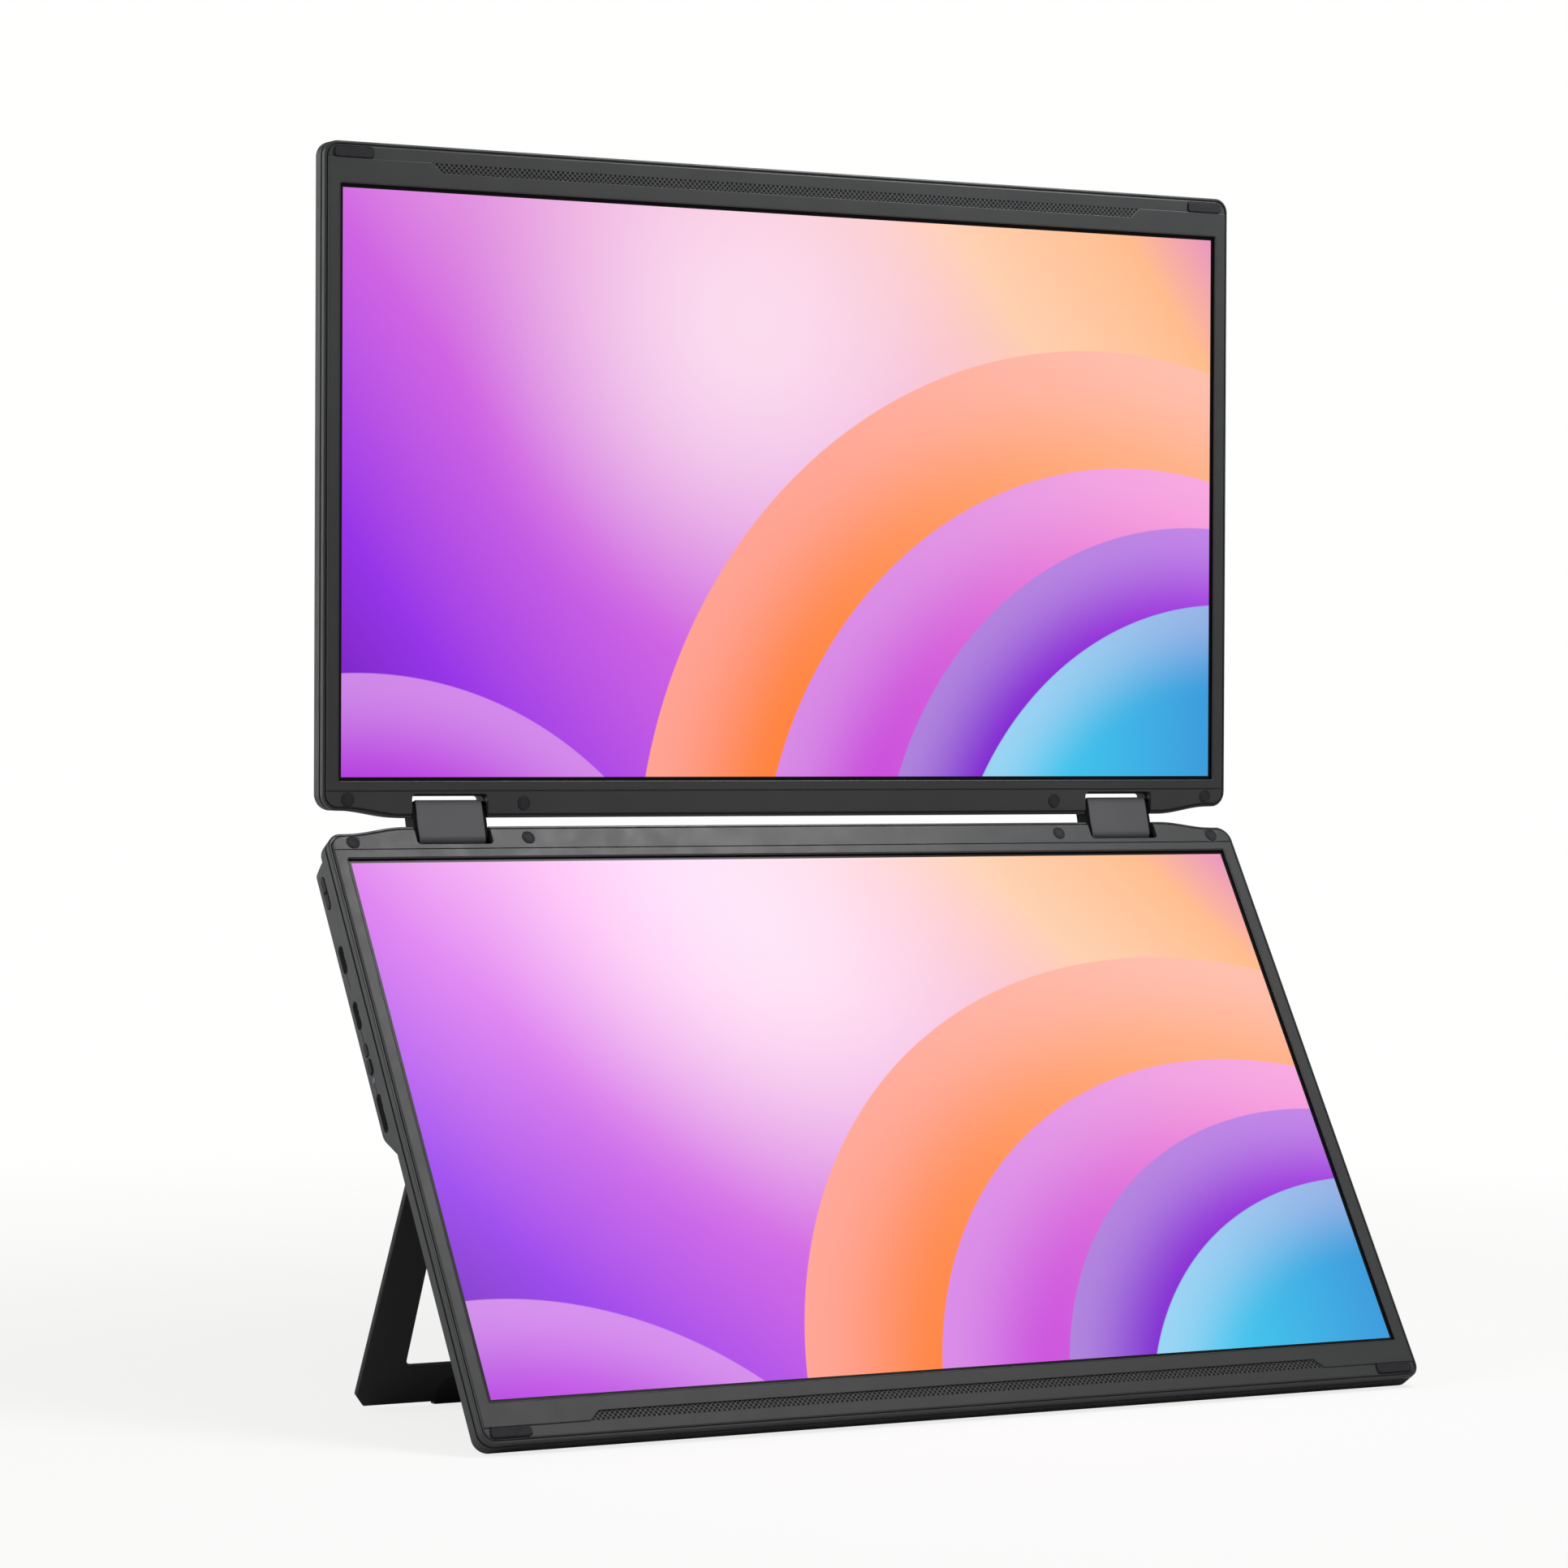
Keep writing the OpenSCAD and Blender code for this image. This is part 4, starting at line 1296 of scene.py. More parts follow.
    def side_frame(self, shop: Shop) -> None:
        """Models the band round the front of the side, above a groove painted black as shade."""
        band = self.slab(self.label("side_band"), self.groove_top, self.rim_top, 0)
        Bench.bevel(band, *self.band_round, above(self.rim_top))
        Bench.bevel(band, *self.edge_break, below(self.groove_top))
        Bench.cut(band, self.slab("seat", self.frame_top, self.thickness, self.rim_w))
        groove = self.slab("groove", self.rear_rim, self.groove_top, self.groove_in)
        for part, finish, foot, depth in (
            (band, FRAME, self.groove_top, self.notch_front),
            # the groove's faces are painted black as shade
            (groove, PAINTED_SHADE_BLACK, self.rear_rim, self.notch_d),
        ):
            Bench.cut(part, self.opening(foot - 1, self.thickness))
            Bench.cut(part, *self.notches(depth, foot - 1, self.thickness))
            Bench.cut(part, *self.ear_pockets())
            shop.coat(part, finish)
        Bench.place(Bench.join(band, groove), self.placement)
        shop.mount(band, self.body, self.label("middle_frame"))

    def grille_drawing(self) -> Drawing:
        """Draws the outline of the bed that the grille lies in."""
        near, far = (self.screen_far + y for y in self.step)
        inner, outer = self.grille_x
        return polygon((-inner, near), (inner, near), (outer, far), (-outer, far))

    def past_step(self, shift: float, end: float) -> Drawing:
        """Draws the face from the step, moved by a shift, to an end.

        Args:
            shift: How far the step is moved along y.
            end: Where the face ends along y.

        Returns:
            The outline.
        """
        near, far = (self.screen_far + shift + y for y in self.step)
        inner, outer = self.grille_x
        edge = self.half_w + 1
        corners = [(-edge, end), (-edge, far), (-outer, far), (-inner, near)]
        corners += [(inner, near), (outer, far), (edge, far), (edge, end)]
        return polygon(*(corners if end > far else reversed(corners)))

    def on_step(self, spot: Vector) -> bool:
        """Says whether a place on the surround lies on its step."""
        near, far = (self.screen_far + y for y in self.step)
        inner = self.half_w - self.surround_inset - self.step_end
        return near - NEAR < spot.y < far + NEAR and abs(spot.x) < inner

    def window_drawing(self, margin: float, r: float) -> Drawing:
        """Draws the picture's outline, wider by a margin."""
        half = self.screen[0] / 2 + margin
        return rounded_rect((-half, self.hinge_border - margin), (half, self.screen_far + margin), r)

    def surround(self, shop: Shop) -> None:
        """Models the front surround with its step, line, window and holes."""
        front, top, foot = self.thickness, self.thickness + 1, self.frame_top - 1
        face = front - self.step_drop
        low = self.slab("low part", self.frame_top, face, self.surround_inset)
        Bench.bevel(low, *self.front_round, above(face))
        Bench.cut(low, Bench.solid("near", self.past_step(-self.step_overlap, -1), foot, top))
        strip = Bench.solid("strip bed", self.grille_drawing(), face - self.grille_t, top)
        Bench.cut(low, strip, *(self.pad_form("pad bed", side, top, -self.pad_bed) for side in SIDES))
        piece = self.slab(self.label("front_surround"), self.frame_top, front, self.surround_inset)
        Bench.bevel(piece, *self.front_round, above(front))
        Bench.cut(piece, Bench.solid("far", self.past_step(0, self.length + 1), foot, top))
        Bench.clean(piece)
        on_front = above(front)
        Bench.bevel(piece, *self.edge_break, lambda spot, way: on_front(spot, way) and self.on_step(spot))
        margin, r = self.window_margin, self.window_r
        window = Bench.solid("window", self.window_drawing(margin, r), foot, top)
        places = [(side * x, y) for side in SIDES for x, y in self.plug_at]
        hole_r = self.plug_r + self.plug_clear
        holes = [Bench.drum("hole", place, hole_r, foot, top) for place in places]
        Bench.cut(piece, window, *holes)
        edge, half = self.half_w + 1, self.line_w / 2
        start = (-edge, self.line_y - half, front - self.line_d)
        line = Bench.block("line", start, (edge, self.line_y + half, top))
        bed = front - self.slope_d
        wider = self.window_drawing(margin + self.slope_w, r + self.slope_w)
        slope = Bench.solid("slope", wider, bed, top)
        Bench.cut(piece, Bench.bevel(slope, *self.slope_round, below(bed)))
        Bench.cut(piece, *self.notches(self.notch_front, foot, top))
        Bench.soften(Bench.clean(piece), self.front_break)
        Bench.cut(piece, line)
        Bench.join(piece, Bench.clean(low))
        self.finish(shop, piece, BEZEL, "surround_plastic", "surround")

    def pad_form(self, name: str, side: int, top: float, clear: float) -> Piece:
        """Makes the form of a corner pad, or the bed that it lies in.

        Args:
            name: Name of the form.
            side: -1 or 1 along x.
            top: Height of its top.
            clear: How much smaller it is all round.

        Returns:
            The form.
        """
        x, y = side * self.pad_at[0], self.pad_at[1]
        w, h = self.pad_size[0] / 2 - clear, self.pad_size[1] / 2 - clear
        drawing = rounded_rect((x - w, y - h), (x + w, y + h), self.pad_r - clear, 6)
        return Bench.solid(name, drawing, self.frame_top + self.pad_raise, top)

    def corner_pads(self, shop: Shop) -> None:
        """Models the two rubber pads in the far corners."""
        name, top = self.label("pads"), self.thickness + self.pad_proud
        piece = Bench.join(*(self.pad_form(name, side, top, self.pad_clear) for side in SIDES))
        Bench.bevel(piece, *self.pad_round, above(top))
        self.finish(shop, piece, PAD, "rubber", "corner_pads")

    def screw_plugs(self, shop: Shop) -> None:
        """Models the rubber plugs over the surround's screws, each with a ring."""
        top = self.thickness + self.plug_proud
        plugs = []
        for middle in [Vector((side * x, y)) for side in SIDES for x, y in self.plug_at]:
            plug = Bench.drum("plug", middle, self.plug_r, self.frame_top, top, 40)
            Bench.pick(plug, Pick.FACES, lambda _, normal: normal.z > 0.9)
            for thickness, depth in self.plug_insets:
                bpy.ops.mesh.inset(thickness=thickness, depth=depth)

            def on_rim(spot: Vector, _: Vector, middle: Vector = middle) -> bool:
                """Says whether an edge lies on the plug's outer rim."""
                return spot.z > top - NEAR and (spot.xy - middle).length > self.plug_r - 0.1

            plugs.append(Bench.bevel(plug, *self.plug_round, on_rim))
        piece = Bench.name(Bench.join(*plugs), self.label("plugs"))
        self.finish(shop, piece, PAD, "rubber", "screw_plugs")

    def glass(self, shop: Shop) -> None:
        """Models the display module's front with the picture on it."""
        x, (near, far), gap = self.module_x, self.module_y, self.glass_clear
        low, high = (-x + gap, near + gap, self.glass_z[0]), (x - gap, far - gap, self.glass_z[1])
        piece = Bench.block(self.label("screen"), low, high)
        Bench.bevel(piece, *self.glass_round, lambda *_: True)
        name, border = self.label("picture"), self.hinge_border
        picture = Picture(name, self.placement, *self.screen, border, self.upside_down)
        self.finish(shop, piece, picture, "screen", "glass")

    def grille(self, shop: Shop) -> None:
        """Models the grille strip as a lattice of small sunk diamonds, whose sunk faces are painted black
        as shade.
        """
        pitch, clear = self.grille_pitch, self.grille_clear
        top = self.thickness - self.step_drop - clear
        low = top - (self.grille_t - clear)
        near, far = self.screen_far + self.step[0] + clear, self.screen_far + self.step[1]
        rows = math.ceil((far - near) / (pitch / 2)) + 2
        inner, outer = self.grille_x[0] - clear, self.grille_x[1] - clear
        columns = math.ceil(2 * outer / pitch) + rows
        start = (-outer - rows * pitch / 2, near - pitch / 2, top)
        Bench.clear()
        bpy.ops.mesh.primitive_circle_add(
            vertices=4, radius=pitch / 2, fill_type="NGON", location=start
        )
        piece = Bench.settle(bpy.context.active_object)
        Bench.pick(piece, Pick.FACES, lambda *_: True)
        for thickness, depth in self.grille_insets:
            bpy.ops.mesh.inset(thickness=thickness, depth=depth)
        for count, offset in ((columns, (pitch, 0, 0)), (rows, (pitch / 2, pitch / 2, 0))):
            Bench.modifier(
                piece,
                "ARRAY",
                count=count,
                use_relative_offset=False,
                use_constant_offset=True,
                constant_offset_displace=offset,
                use_merge_vertices=True,
                merge_threshold=1e-3,
            )
        slope = (outer - inner) / (far - near)
        planes = [
            ((0, near, 0), (0, -1, 0)),
            ((0, far, 0), (0, 1, 0)),
            ((inner, near, 0), (1, -slope, 0)),
            ((-inner, near, 0), (-1, -slope, 0)),
        ]
        for point, normal in planes:
            Bench.edit(piece)
            bpy.ops.mesh.bisect(plane_co=point, plane_no=normal, clear_outer=True)
        Bench.edit(piece)
        bpy.ops.mesh.remove_doubles(threshold=1e-3)
        bpy.ops.mesh.select_mode(type="EDGE")
        bpy.ops.mesh.select_all(action="DESELECT")
        bpy.ops.mesh.select_non_manifold(
            extend=False, use_wire=False, use_multi_face=False, use_non_contiguous=False, use_verts=False
        )
        bpy.ops.mesh.extrude_region_move(TRANSFORM_OT_translate={"value": (0, 0, -1)})
        bpy.ops.mesh.select_all(action="SELECT")
        foot = {"plane_co": (0, 0, low), "plane_no": (0, 0, -1)}
        bpy.ops.mesh.bisect(**foot, use_fill=True, clear_outer=True)
        bpy.ops.mesh.select_all(action="SELECT")
        bpy.ops.mesh.normals_make_consistent(inside=False)
        Bench.clear()
        Bench.name(piece, self.label("grille"))
        # Painted shade: the sunk faces of the diamonds get black in place of the shade in them.
        sunk = [f.index for f in piece.data.polygons if low + 0.01 < f.center.z < top - 0.02]
        self.finish(shop, piece, LATTICE, "grille", "grille_strip")
        piece.data.materials.append(shop.get(PAINTED_SHADE_BLACK))
        for face in sunk:
            piece.data.polygons[face].material_index = 1

    def inner_parts(self, shop: Shop) -> None:
        """Gives the solids inside the display their finishes."""
        shop.repaint(REFLECTOR, self.label("backlight"))
        shop.repaint(BOARD, self.label("driver_board"))
        shop.repaint(BRIGHT, self.label("surround_screws"), self.label("bracket_screws"))
        for side in ("left", "right"):
            shop.repaint(STEEL, self.label(f"hinge_bracket_{side}"), self.label(f"axle_{side}"))

    def build(self, shop: Shop) -> None:
        """Builds the whole display."""
        self.rear_shell(shop)
        self.side_frame(shop)
        self.surround(shop)
        self.glass(shop)
        self.grille(shop)
        self.corner_pads(shop)
        self.screw_plugs(shop)
        self.inner_parts(shop)


@dataclass
class LowerDisplay(Display):
    """The lower display, with its electronics box, sockets and keys."""

    box_depth: float = 6.0
    box_top: float = 2.0
    box_round: tuple[float, int] = (1.3, 4)
    box_room: tuple[float, float] = (11.5, 107.3)
    hinge_floor_half_w: float = 24.0
    hinge_floor_y: tuple[float, float] = (9.0, 38.0)
    hinge_floor_z: float = -0.6
    side_z: float = -1.5
    slots: tuple[tuple[float, float, float], ...] = (
        (13.4, 25.4, 3.0),
        (39.4, 49.5, 3.3),
        (60.1, 70.2, 3.3),
        (75.6, 80.4, 2.8),
        (81.2, 86.8, 3.0),
        (94.0, 107.7, 3.3),
    )
    lens_y: float = 88.8
    lens_r: float = 1.15
    speaker_x: float = 62.0
    speaker_y: tuple[float, float] = (45.0, 59.0)
    sound_slots: int = 9
    sound_slot_w: float = 1.6
    sound_pitch: float = 5.0
    stand_x: float = 138.0
    stand_pocket_half_w: float = 13.0
    stand_pocket_y: tuple[float, float] = (110.4, 122.0)

    def box(self) -> Piece:
        """Models the electronics box from its side profile."""
        profile = polygon(
            (8.6, self.box_top), (8.6, 0.0), (9.6, -4.0), (10.1, -5.2), (10.7, -5.75), (11.6, -6.0),
            (107.3, -6.0), (108.3, -5.75), (109.55, -5.2), (111.13, -4.0), (116.4, 0.0),
            (116.4, self.box_top),
        )
        box = Bench.bar("box", profile, -self.half_w, self.half_w)

        def on_side(middle: Vector, _: Vector) -> bool:
            """Says whether an edge lies on a side, below the box's top."""
            return abs(abs(middle.x) - self.half_w) < NEAR and middle.z < self.box_top - 0.1

        return Bench.bevel(box, *self.box_round, on_side)

    def openings(self) -> list[Piece]:
        """Makes cutters for the sockets, the keys, the lens, the sound and the stand."""
        side_x, below_box = (self.half_w - 4, self.half_w + 1), -self.box_depth - 1
        tools = []
        for start, end, height in self.slots:
            low, high = self.side_z - height / 2, self.side_z + height / 2
            tools.append(Bench.bar("slot", stadium((start, low), (end, high)), *side_x))
        lens = circle(self.lens_y, self.side_z, self.lens_r + 0.05)
        tools.append(Bench.bar("lens hole", lens, *side_x))
        near, far = self.speaker_y
        half = self.sound_slot_w / 2
        for side in SIDES:
            for i in range(self.sound_slots):
                x = side * self.speaker_x + (i - (self.sound_slots - 1) / 2) * self.sound_pitch
                drawing = stadium((x - half, near), (x + half, far), 8)
                tools.append(Bench.solid("sound slot", drawing, below_box, -1))
        near, far = self.stand_pocket_y
        pocket = ("stand pocket", self.stand_x, self.stand_pocket_half_w, (near, below_box), (far, 0))
        return tools + Bench.pair(*pocket)

    def at_slots(self, middle: Vector, _: Vector) -> bool:
        """Says whether an edge is the mouth of a slot on the left side."""
        in_row = self.slots[0][0] - 1 < middle.y < self.slots[-1][1] + 1
        return in_row and abs(middle.z - self.side_z) < 1.8 and middle.x > self.half_w - NEAR

    def at_speakers(self, middle: Vector, _: Vector) -> bool:
        """Says whether an edge is the mouth of a sound slot."""
        reach = self.sound_slots * self.sound_pitch / 2
        in_row = self.speaker_y[0] - 1 < middle.y < self.speaker_y[1] + 1
        beside = abs(abs(middle.x) - self.speaker_x) < reach
        return in_row and beside and middle.z < -self.box_depth + NEAR

    def rear_shell(self, shop: Shop) -> None:
        """Models the back cover with its box, openings and pockets."""
        tray = self.rear_blank()
        Bench.fuse(tray, self.box())
        room_low = -self.box_depth + self.wall + 0.1
        edge = self.half_w - self.wall - 0.1
        near, far = self.box_room
        Bench.cut(tray, Bench.block("room", (-edge, near, room_low), (edge, far, self.floor + 1)))
        self.hollow(tray)
        near, far = self.hinge_floor_y
        low, high = (near, self.hinge_floor_z), (far, self.floor)
        floors = Bench.pair("hinge floor", self.hinge_x, self.hinge_floor_half_w, low, high)
        Bench.fuse(tray, *floors)
        Bench.cut(tray, *self.openings())
        Bench.clean(tray)
        for test in (self.at_slots, self.at_speakers):
            Bench.bevel(tray, *self.edge_break, test)
        self.finish_rear(shop, tray)

    def side_parts(self, shop: Shop) -> None:
        """Dresses the sockets, the keys and the lens on the left side."""
        for node in ("power_socket", "signal_socket", "video_socket"):
            piece = Bench.from_node(f"{node}_shell", node, 0.08)
            shop.dress(piece, BRIGHT, self.body, node)
        keys = (("volume_rocker", Body.ROCKER), ("power_key", Body.POWER), ("menu_lever", Body.LEVER))
        for node, body in keys:
            piece = Bench.from_node(f"{node}_cap", node, 0.3, 3)
            shop.dress(piece, BLACK, body, node)
        piece = Bench.from_node("status_light", "status_lens", 0.15, 3)
        shop.dress(piece, LENS, self.body, "status_lens")
        shop.repaint(BOARD, "main_board")
        shop.repaint(SWITCH, "side_switches")
        shop.repaint(BLACK, "speaker_left", "speaker_right")

    def build(self, shop: Shop) -> None:
        """Builds the display and its side parts."""
        super().build(shop)
        self.side_parts(shop)


# ------------------------------------------------------------ hinges


@dataclass
class HingeBlock:
    """One two-axle hinge block, in the link's frame: y up, z to the front."""

    side: str
    x: float
    placement: Matrix
    width: float = 24.4
    axle_gap: float = 10.0
    core_r: float = 2.9
    cap_r: float = 3.6
    top_r: float = 4.3
    top: float = 2.5
    wall: float = 0.8
    clear: float = 0.1
    neck_r: float = 2.4
    edge_round: tuple[float, int] = (0.22, 3)
    front_split: float = 0.6
    back_split: float = -1.8
    steps: int = 14

    def race(self, r: float) -> Drawing:
        """Draws a bar with round ends about both axles, in y and z."""
        half = self.axle_gap / 2
        return arc(half, 0, r, -90, 90, 2 * self.steps) + arc(-half, 0, r, 90, 270, 2 * self.steps)

    def front_section(self) -> Drawing:
        """Draws the front cover's section with its square upper edge."""
        half, r, z = self.axle_gap / 2, self.cap_r, self.front_split
        start = math.degrees(math.acos(z / r)) + 90
        corner = math.sqrt(self.top_r**2 - self.top**2)
        across = math.sqrt(self.top_r**2 - r**2)
        return (
            arc(-half, 0, r, start, 90, self.steps)
            + polygon((half + across, r), (half + self.top, corner), (half + self.top, z))
        )

    def back_section(self) -> Drawing:
        """Draws the back cover's section."""
        half, r, z = self.axle_gap / 2, self.cap_r, self.back_split
        turn = math.degrees(math.acos(-z / r))
        foot = arc(-half, 0, r, 270 - turn, 270, self.steps)
        return foot + arc(half, 0, r, -90, -90 + turn, self.steps)

    def cover(self, name: str, section: Drawing) -> Piece:
        """Models a cover from its section: hollow, with holes for the necks.

        Args:
            name: Name of the cover.
            section: Its section, in y and z.

        Returns:
            The cover, in place.
        """
        low, high = self.x - self.width / 2, self.x + self.width / 2
        piece = Bench.bar(name, section, low, high)
        room = Bench.bar("room", self.race(self.core_r + self.clear), low + self.wall, high - self.wall)
        Bench.cut(piece, room)
        necks = [circle(side * self.axle_gap / 2, 0, self.neck_r) for side in SIDES]
        Bench.cut(piece, *(Bench.bar("neck", neck, low - 1, high + 1) for neck in necks))
        Bench.soften(Bench.clean(piece), *self.edge_round)
        return Bench.place(piece, self.placement)

    def build(self, shop: Shop) -> None:
        """Builds the block's two covers and dresses the steel link."""
        for part, section, finish, slot in (
            ("front", self.front_section(), HINGE, "hinge_cover"),
            ("back", self.back_section(), BLACK, "hinge_back"),
        ):
            piece = self.cover(f"hinge_{part}_{self.side}", section)
            shop.dress(piece, finish, Body.LINKS, f"hinge_{part}_cover_{self.side}")
        shop.repaint(BLACKENED, f"hinge_link_{self.side}")


# ------------------------------------------------------------ stand


@dataclass
class Stand:
    """The folding stand: y runs from its pins to its foot, z to the display."""

    placement: Matrix
    length: float = 94.4
    thickness: float = 2.5
    face: float = 2.4
    root: float = 2.6
    top_half_w: float = 170.5
    half_w: float = 173.0
    corner: tuple[float, float] = (3.4, 4.2)
    root_corner: float = 3.0
    window_half_w: float = 157.2
    window: tuple[float, float] = (24.0, 80.2)
    window_r: float = 2.5
    knuckle_x: float = 138.0
    knuckle_r: float = 2.3
    knuckle_w: float = 18.2
    leaf_top: float = 2.2
    edge_round: tuple[float, int] = (0.7, 2)
    pin_r: float = 1.05

    def plate(self, shop: Shop) -> None:
        """Models the plate with its window and its two knuckles."""
        w0, w1 = self.top_half_w, self.half_w
        foot, back = self.length, self.face - self.thickness
        root, cut = self.root, self.root_corner
        drawing = polygon(
            (-w0 + cut, root), (w0 - cut, root), (w0, root + cut),
            (w1, foot - self.corner[1]), (w1 - self.corner[0], foot),
            (-w1 + self.corner[0], foot), (-w1, foot - self.corner[1]), (-w0, root + cut),
        )
        piece = Bench.solid("stand_plate", drawing, back, self.face)
        wide, (near, far) = self.window_half_w, self.window
        window = rounded_rect((-wide, near), (wide, far), self.window_r)
        Bench.cut(piece, Bench.solid("window", window, back - 1, self.face + 1))
        Bench.bevel(
            piece, *self.edge_round, lambda middle, way: abs(way.z) < 0.1 and middle.y > root + 0.1
        )
        pins = []
        for side in SIDES:
            x, half = side * self.knuckle_x, self.knuckle_w / 2
            round_part = Bench.bar("knuckle", circle(0, 0, self.knuckle_r), x - half, x + half)
            leaf = Bench.block("leaf", (x - half, 0, back), (x + half, root + 2, self.leaf_top))
            Bench.fuse(piece, Bench.fuse(round_part, leaf))
            hole = circle(0, 0, self.pin_r)
            pins.append(Bench.bar("pin hole", hole, x - self.knuckle_w, x + self.knuckle_w))
        Bench.cut(piece, *pins)
        Bench.place(Bench.clean(piece), self.placement)
        shop.dress(piece, STAND, Body.STAND, "stand_frame")

    def build(self, shop: Shop) -> None:
        """Builds the plate and the feet, and dresses the small steel parts."""
        self.plate(shop)
        feet = Bench.from_node("stand_feet", "stand_foot_pads", 0.12)
        shop.dress(feet, FOOT, Body.STAND, "stand_foot_pads")
        steel = [f"stand_{part}_{side}" for part in ("bracket", "pin") for side in ("left", "right")]
        shop.repaint(BRIGHT, *steel, "stand_screws")


# ------------------------------------------------------------ studio


@dataclass
class Studio:
    """Floor, soft lights and the camera."""

    eye: Vector = field(default_factory=lambda: Vector((-0.87470, -1.46096, 0.24962)))
    yaw: float = 29.84
    pitch: float = -1.531
    roll: float = 0.747
    lens: float = 116.79
    sensor: float = 36.0
    clip: tuple[float, float] = (0.05, 60.0)
    floor_r: float = 9.0
    floor_z: float = -0.0002
    floor_colour: Colour = (0.80, 0.80, 0.79)
    floor_fades: tuple[float, float] = (250.0, 900.0)
    light_on_object: float = 0.22

    def camera(self) -> None:
        """Sets the camera up."""
        data = bpy.data.cameras.new("view")
        data.lens = self.lens
        data.sensor_width = self.sensor
        data.sensor_fit = "HORIZONTAL"
        data.clip_start, data.clip_end = self.clip
        camera = bpy.data.objects.new("view", data)
        bpy.context.scene.collection.objects.link(camera)
        yaw, pitch, roll = (math.radians(a) for a in (self.yaw, self.pitch, self.roll))
        forward = Vector(
            (math.sin(yaw) * math.cos(pitch), math.cos(yaw) * math.cos(pitch), math.sin(pitch))
        )
        right = Vector((math.cos(yaw), -math.sin(yaw), 0))
        up = right.cross(forward)
        right, up = (
            math.cos(roll) * right + math.sin(roll) * up,
            math.cos(roll) * up - math.sin(roll) * right,
        )
        turn = Matrix((right, up, -forward)).transposed().to_4x4()
        camera.matrix_world = Matrix.Translation(self.eye) @ turn
        bpy.context.scene.camera = camera

    def floor(self) -> None:
        """Lays a wide pale floor that goes over to white away from the object."""
        Bench.clear()
        bpy.ops.mesh.primitive_circle_add(
            vertices=96, radius=self.floor_r, fill_type="NGON", location=(0, 0, self.floor_z)
        )
        floor = Bench.name(Bench.settle(bpy.context.active_object), "floor")
        desk = Desk("floor_paper")
        spot = desk.spot()
        x, y, _ = desk.split(spot)
        fibre = desk.noise(spot, 3.0, 4.0)
        seen = desk.add("ShaderNodeLightPath", out="Is Camera Ray")
        away = x.reach(y).rise(*self.floor_fades)
        lit = desk.mix(away, (0.80, 0.80, 0.795), (1.0, 1.0, 0.995))
        shade = desk.mix(fibre.rise(0.3, 0.7), (0.78, 0.78, 0.775), self.floor_colour)
        near = desk.mix(away, (0.22, 0.22, 0.218), (0.0, 0.0, 0.0))
        paper = desk.surface(
            Base_Color=desk.mix(seen, shade, near),
            Roughness=0.9,
            Specular_IOR_Level=0.0,
            Emission_Color=desk.mix(seen, (0.0, 0.0, 0.0), lit),
            Emission_Strength=1.0,
        )
        floor.data.materials.append(paper)

    def world(self) -> None:
        """Makes an even studio sky, white where it is seen, also through glass."""
        desk = Desk("studio", sky=True)
        seen = desk.add("ShaderNodeLightPath", out="Is Camera Ray")
        through = desk.add("ShaderNodeLightPath", out="Is Transmission Ray")
        ends = {"To_Min": self.light_on_object, "To_Max": 1.0}
        strength = desk.add("ShaderNodeMapRange", None, seen.most(through), **ends)
        bpy.context.scene.world = desk.surface(Color=(1.0, 0.998, 0.994), Strength=strength)

    def lamp(
        self,
        name: str,
        place: Sequence[float],
        aim: Sequence[float],
        size: tuple[float, float],
        watts: float,
    ) -> None:
        """Hangs one soft lamp.

        Args:
            name: Its name.
            place: Where it hangs, in metres.
            aim: What it points at.
            size: Its width and height.
            watts: Its power.
        """
        data = bpy.data.lights.new(name, "AREA")
        data.shape = "RECTANGLE"
        data.size, data.size_y = size
        data.energy = watts
        lamp = bpy.data.objects.new(name, data)
        bpy.context.scene.collection.objects.link(lamp)
        way = Vector(aim) - Vector(place)
        lamp.matrix_world = Matrix.Translation(place) @ way.to_track_quat("-Z", "Y").to_matrix().to_4x4()

    def build(self) -> None:
        """Builds the studio."""
        self.camera()
        self.floor()
        self.world()
        self.lamp("key", (0.25, -0.18, 0.75), (0.05, 0.0, 0.35), (0.3, 0.15), 2.6)
        self.lamp("front", (0.45, -0.75, 1.05), (0.0, 0.0, 0.30), (0.5, 0.4), 1.2)
        self.lamp("left_side", (-1.6, 0.1, 0.7), (-0.1, 0.0, 0.2), (0.7, 1.2), 9.0)
        self.lamp("left_back", (-0.9, 1.2, 0.5), (-0.15, 0.0, 0.2), (0.7, 0.9), 2.5)
        bpy.context.scene.view_settings.view_transform = "Standard"


# ------------------------------------------------------------ assembly


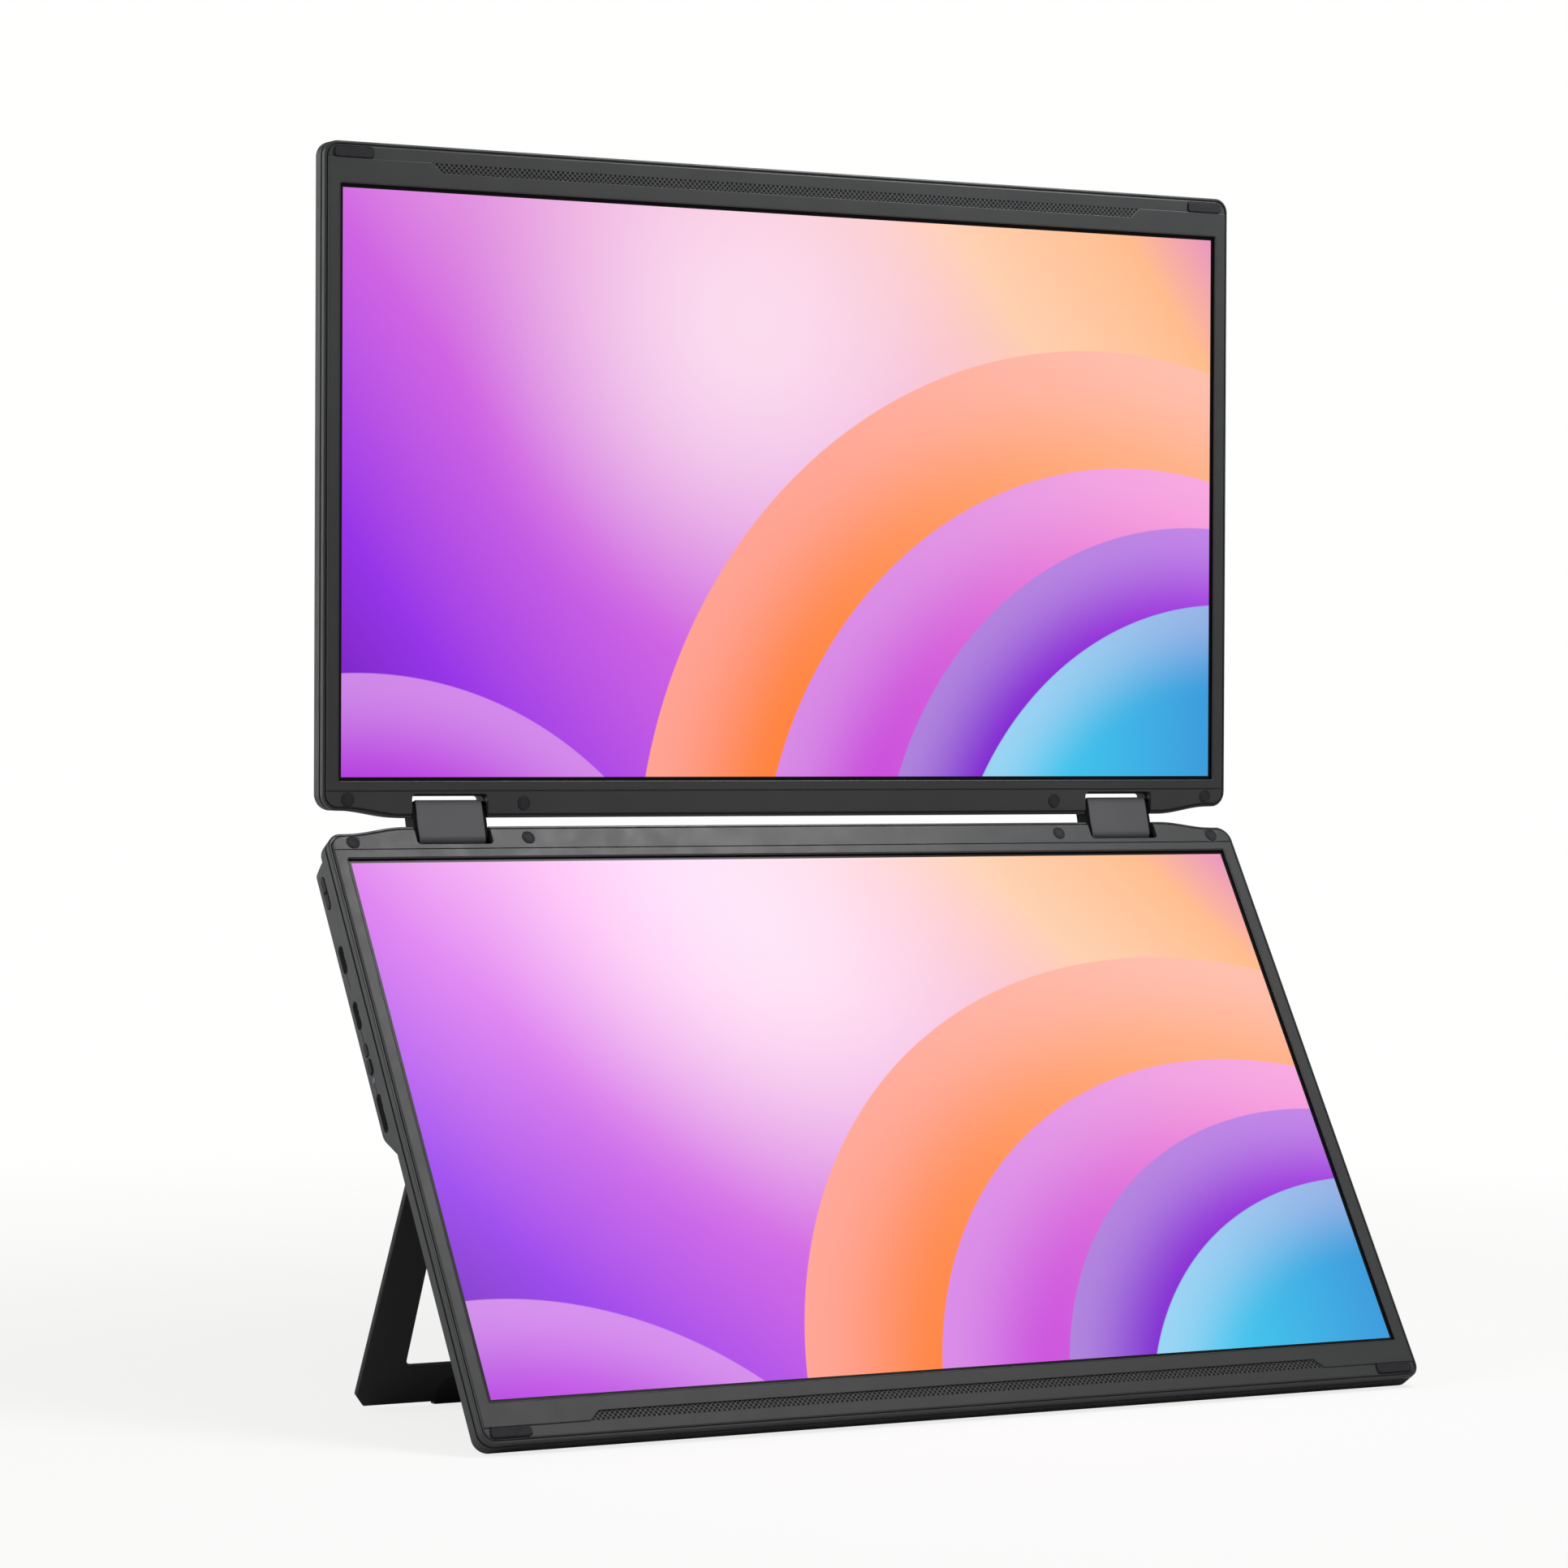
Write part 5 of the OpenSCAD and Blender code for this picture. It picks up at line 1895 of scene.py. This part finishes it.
@dataclass
class Extender:
    """The whole object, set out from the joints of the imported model."""

    lean_upper: float = 1.0
    lean_lower: float = 33.3
    axle_inset: float = 2.6
    axle_z: float = 4.5
    axle_gap: float = 10.0
    hinge_x: float = 132.5

    def joint(self, name: str) -> dict[str, Any]:
        """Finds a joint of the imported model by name."""
        return next(j for j in frame["joints"] if j["name"] == name)

    def on_axle(self, name: str, lean: float, half_turn: bool) -> Matrix:
        """Places a display on one of the hinge's axles.

        Args:
            name: Name of the joint.
            lean: How far the display leans back, in degrees.
            half_turn: Whether its hinge edge is on top.

        Returns:
            Where the display's own frame is.
        """
        x, y, z = self.joint(name)["pos_m"]
        turn = Matrix.Rotation(math.radians(90 - lean), 4, "X")
        if half_turn:
            turn = turn @ Matrix.Rotation(math.pi, 4, "Z")
        shift = Matrix.Translation(Vector((0, -self.axle_inset, -self.axle_z)) * MM)
        return Matrix.Translation((0, y, z)) @ turn @ shift

    def build(self, shop: Shop) -> None:
        """Builds every sub-assembly in its place."""
        lower = self.on_axle("lower_hinge", self.lean_lower, True)
        upper = self.on_axle("upper_hinge", self.lean_upper, False)
        Display(Body.UPPER, "upper", upper, False, 8.0).build(shop)
        LowerDisplay(Body.LOWER, "lower", lower, True, 7.2).build(shop)
        _, y, z = self.joint("lower_hinge")["pos_m"]
        lean = (self.lean_upper + self.lean_lower) / 2
        link = (
            Matrix.Translation((0, y, z))
            @ Matrix.Rotation(math.radians(90 - lean), 4, "X")
            @ Matrix.Translation((0, self.axle_gap / 2 * MM, 0))
        )
        for side, x in (("left", -self.hinge_x), ("right", self.hinge_x)):
            HingeBlock(side, x, link).build(shop)
        shop.repaint(BRASS, "hinge_washers")
        fold = self.joint("stand_fold")
        _, y, z = fold["pos_m"]
        opened = -fold["range_deg"][0]
        turn = lower.to_3x3().to_4x4() @ Matrix.Rotation(math.radians(-opened), 4, "X")
        Stand(Matrix.Translation((0, y, z)) @ turn).build(shop)


def main() -> None:
    """Builds the object and its studio."""
    logging.basicConfig(level=logging.INFO, format="%(name)s %(message)s")
    Bench.clear()
    Studio().build()
    Extender().build(Shop())


if __name__ == "__main__":
    main()
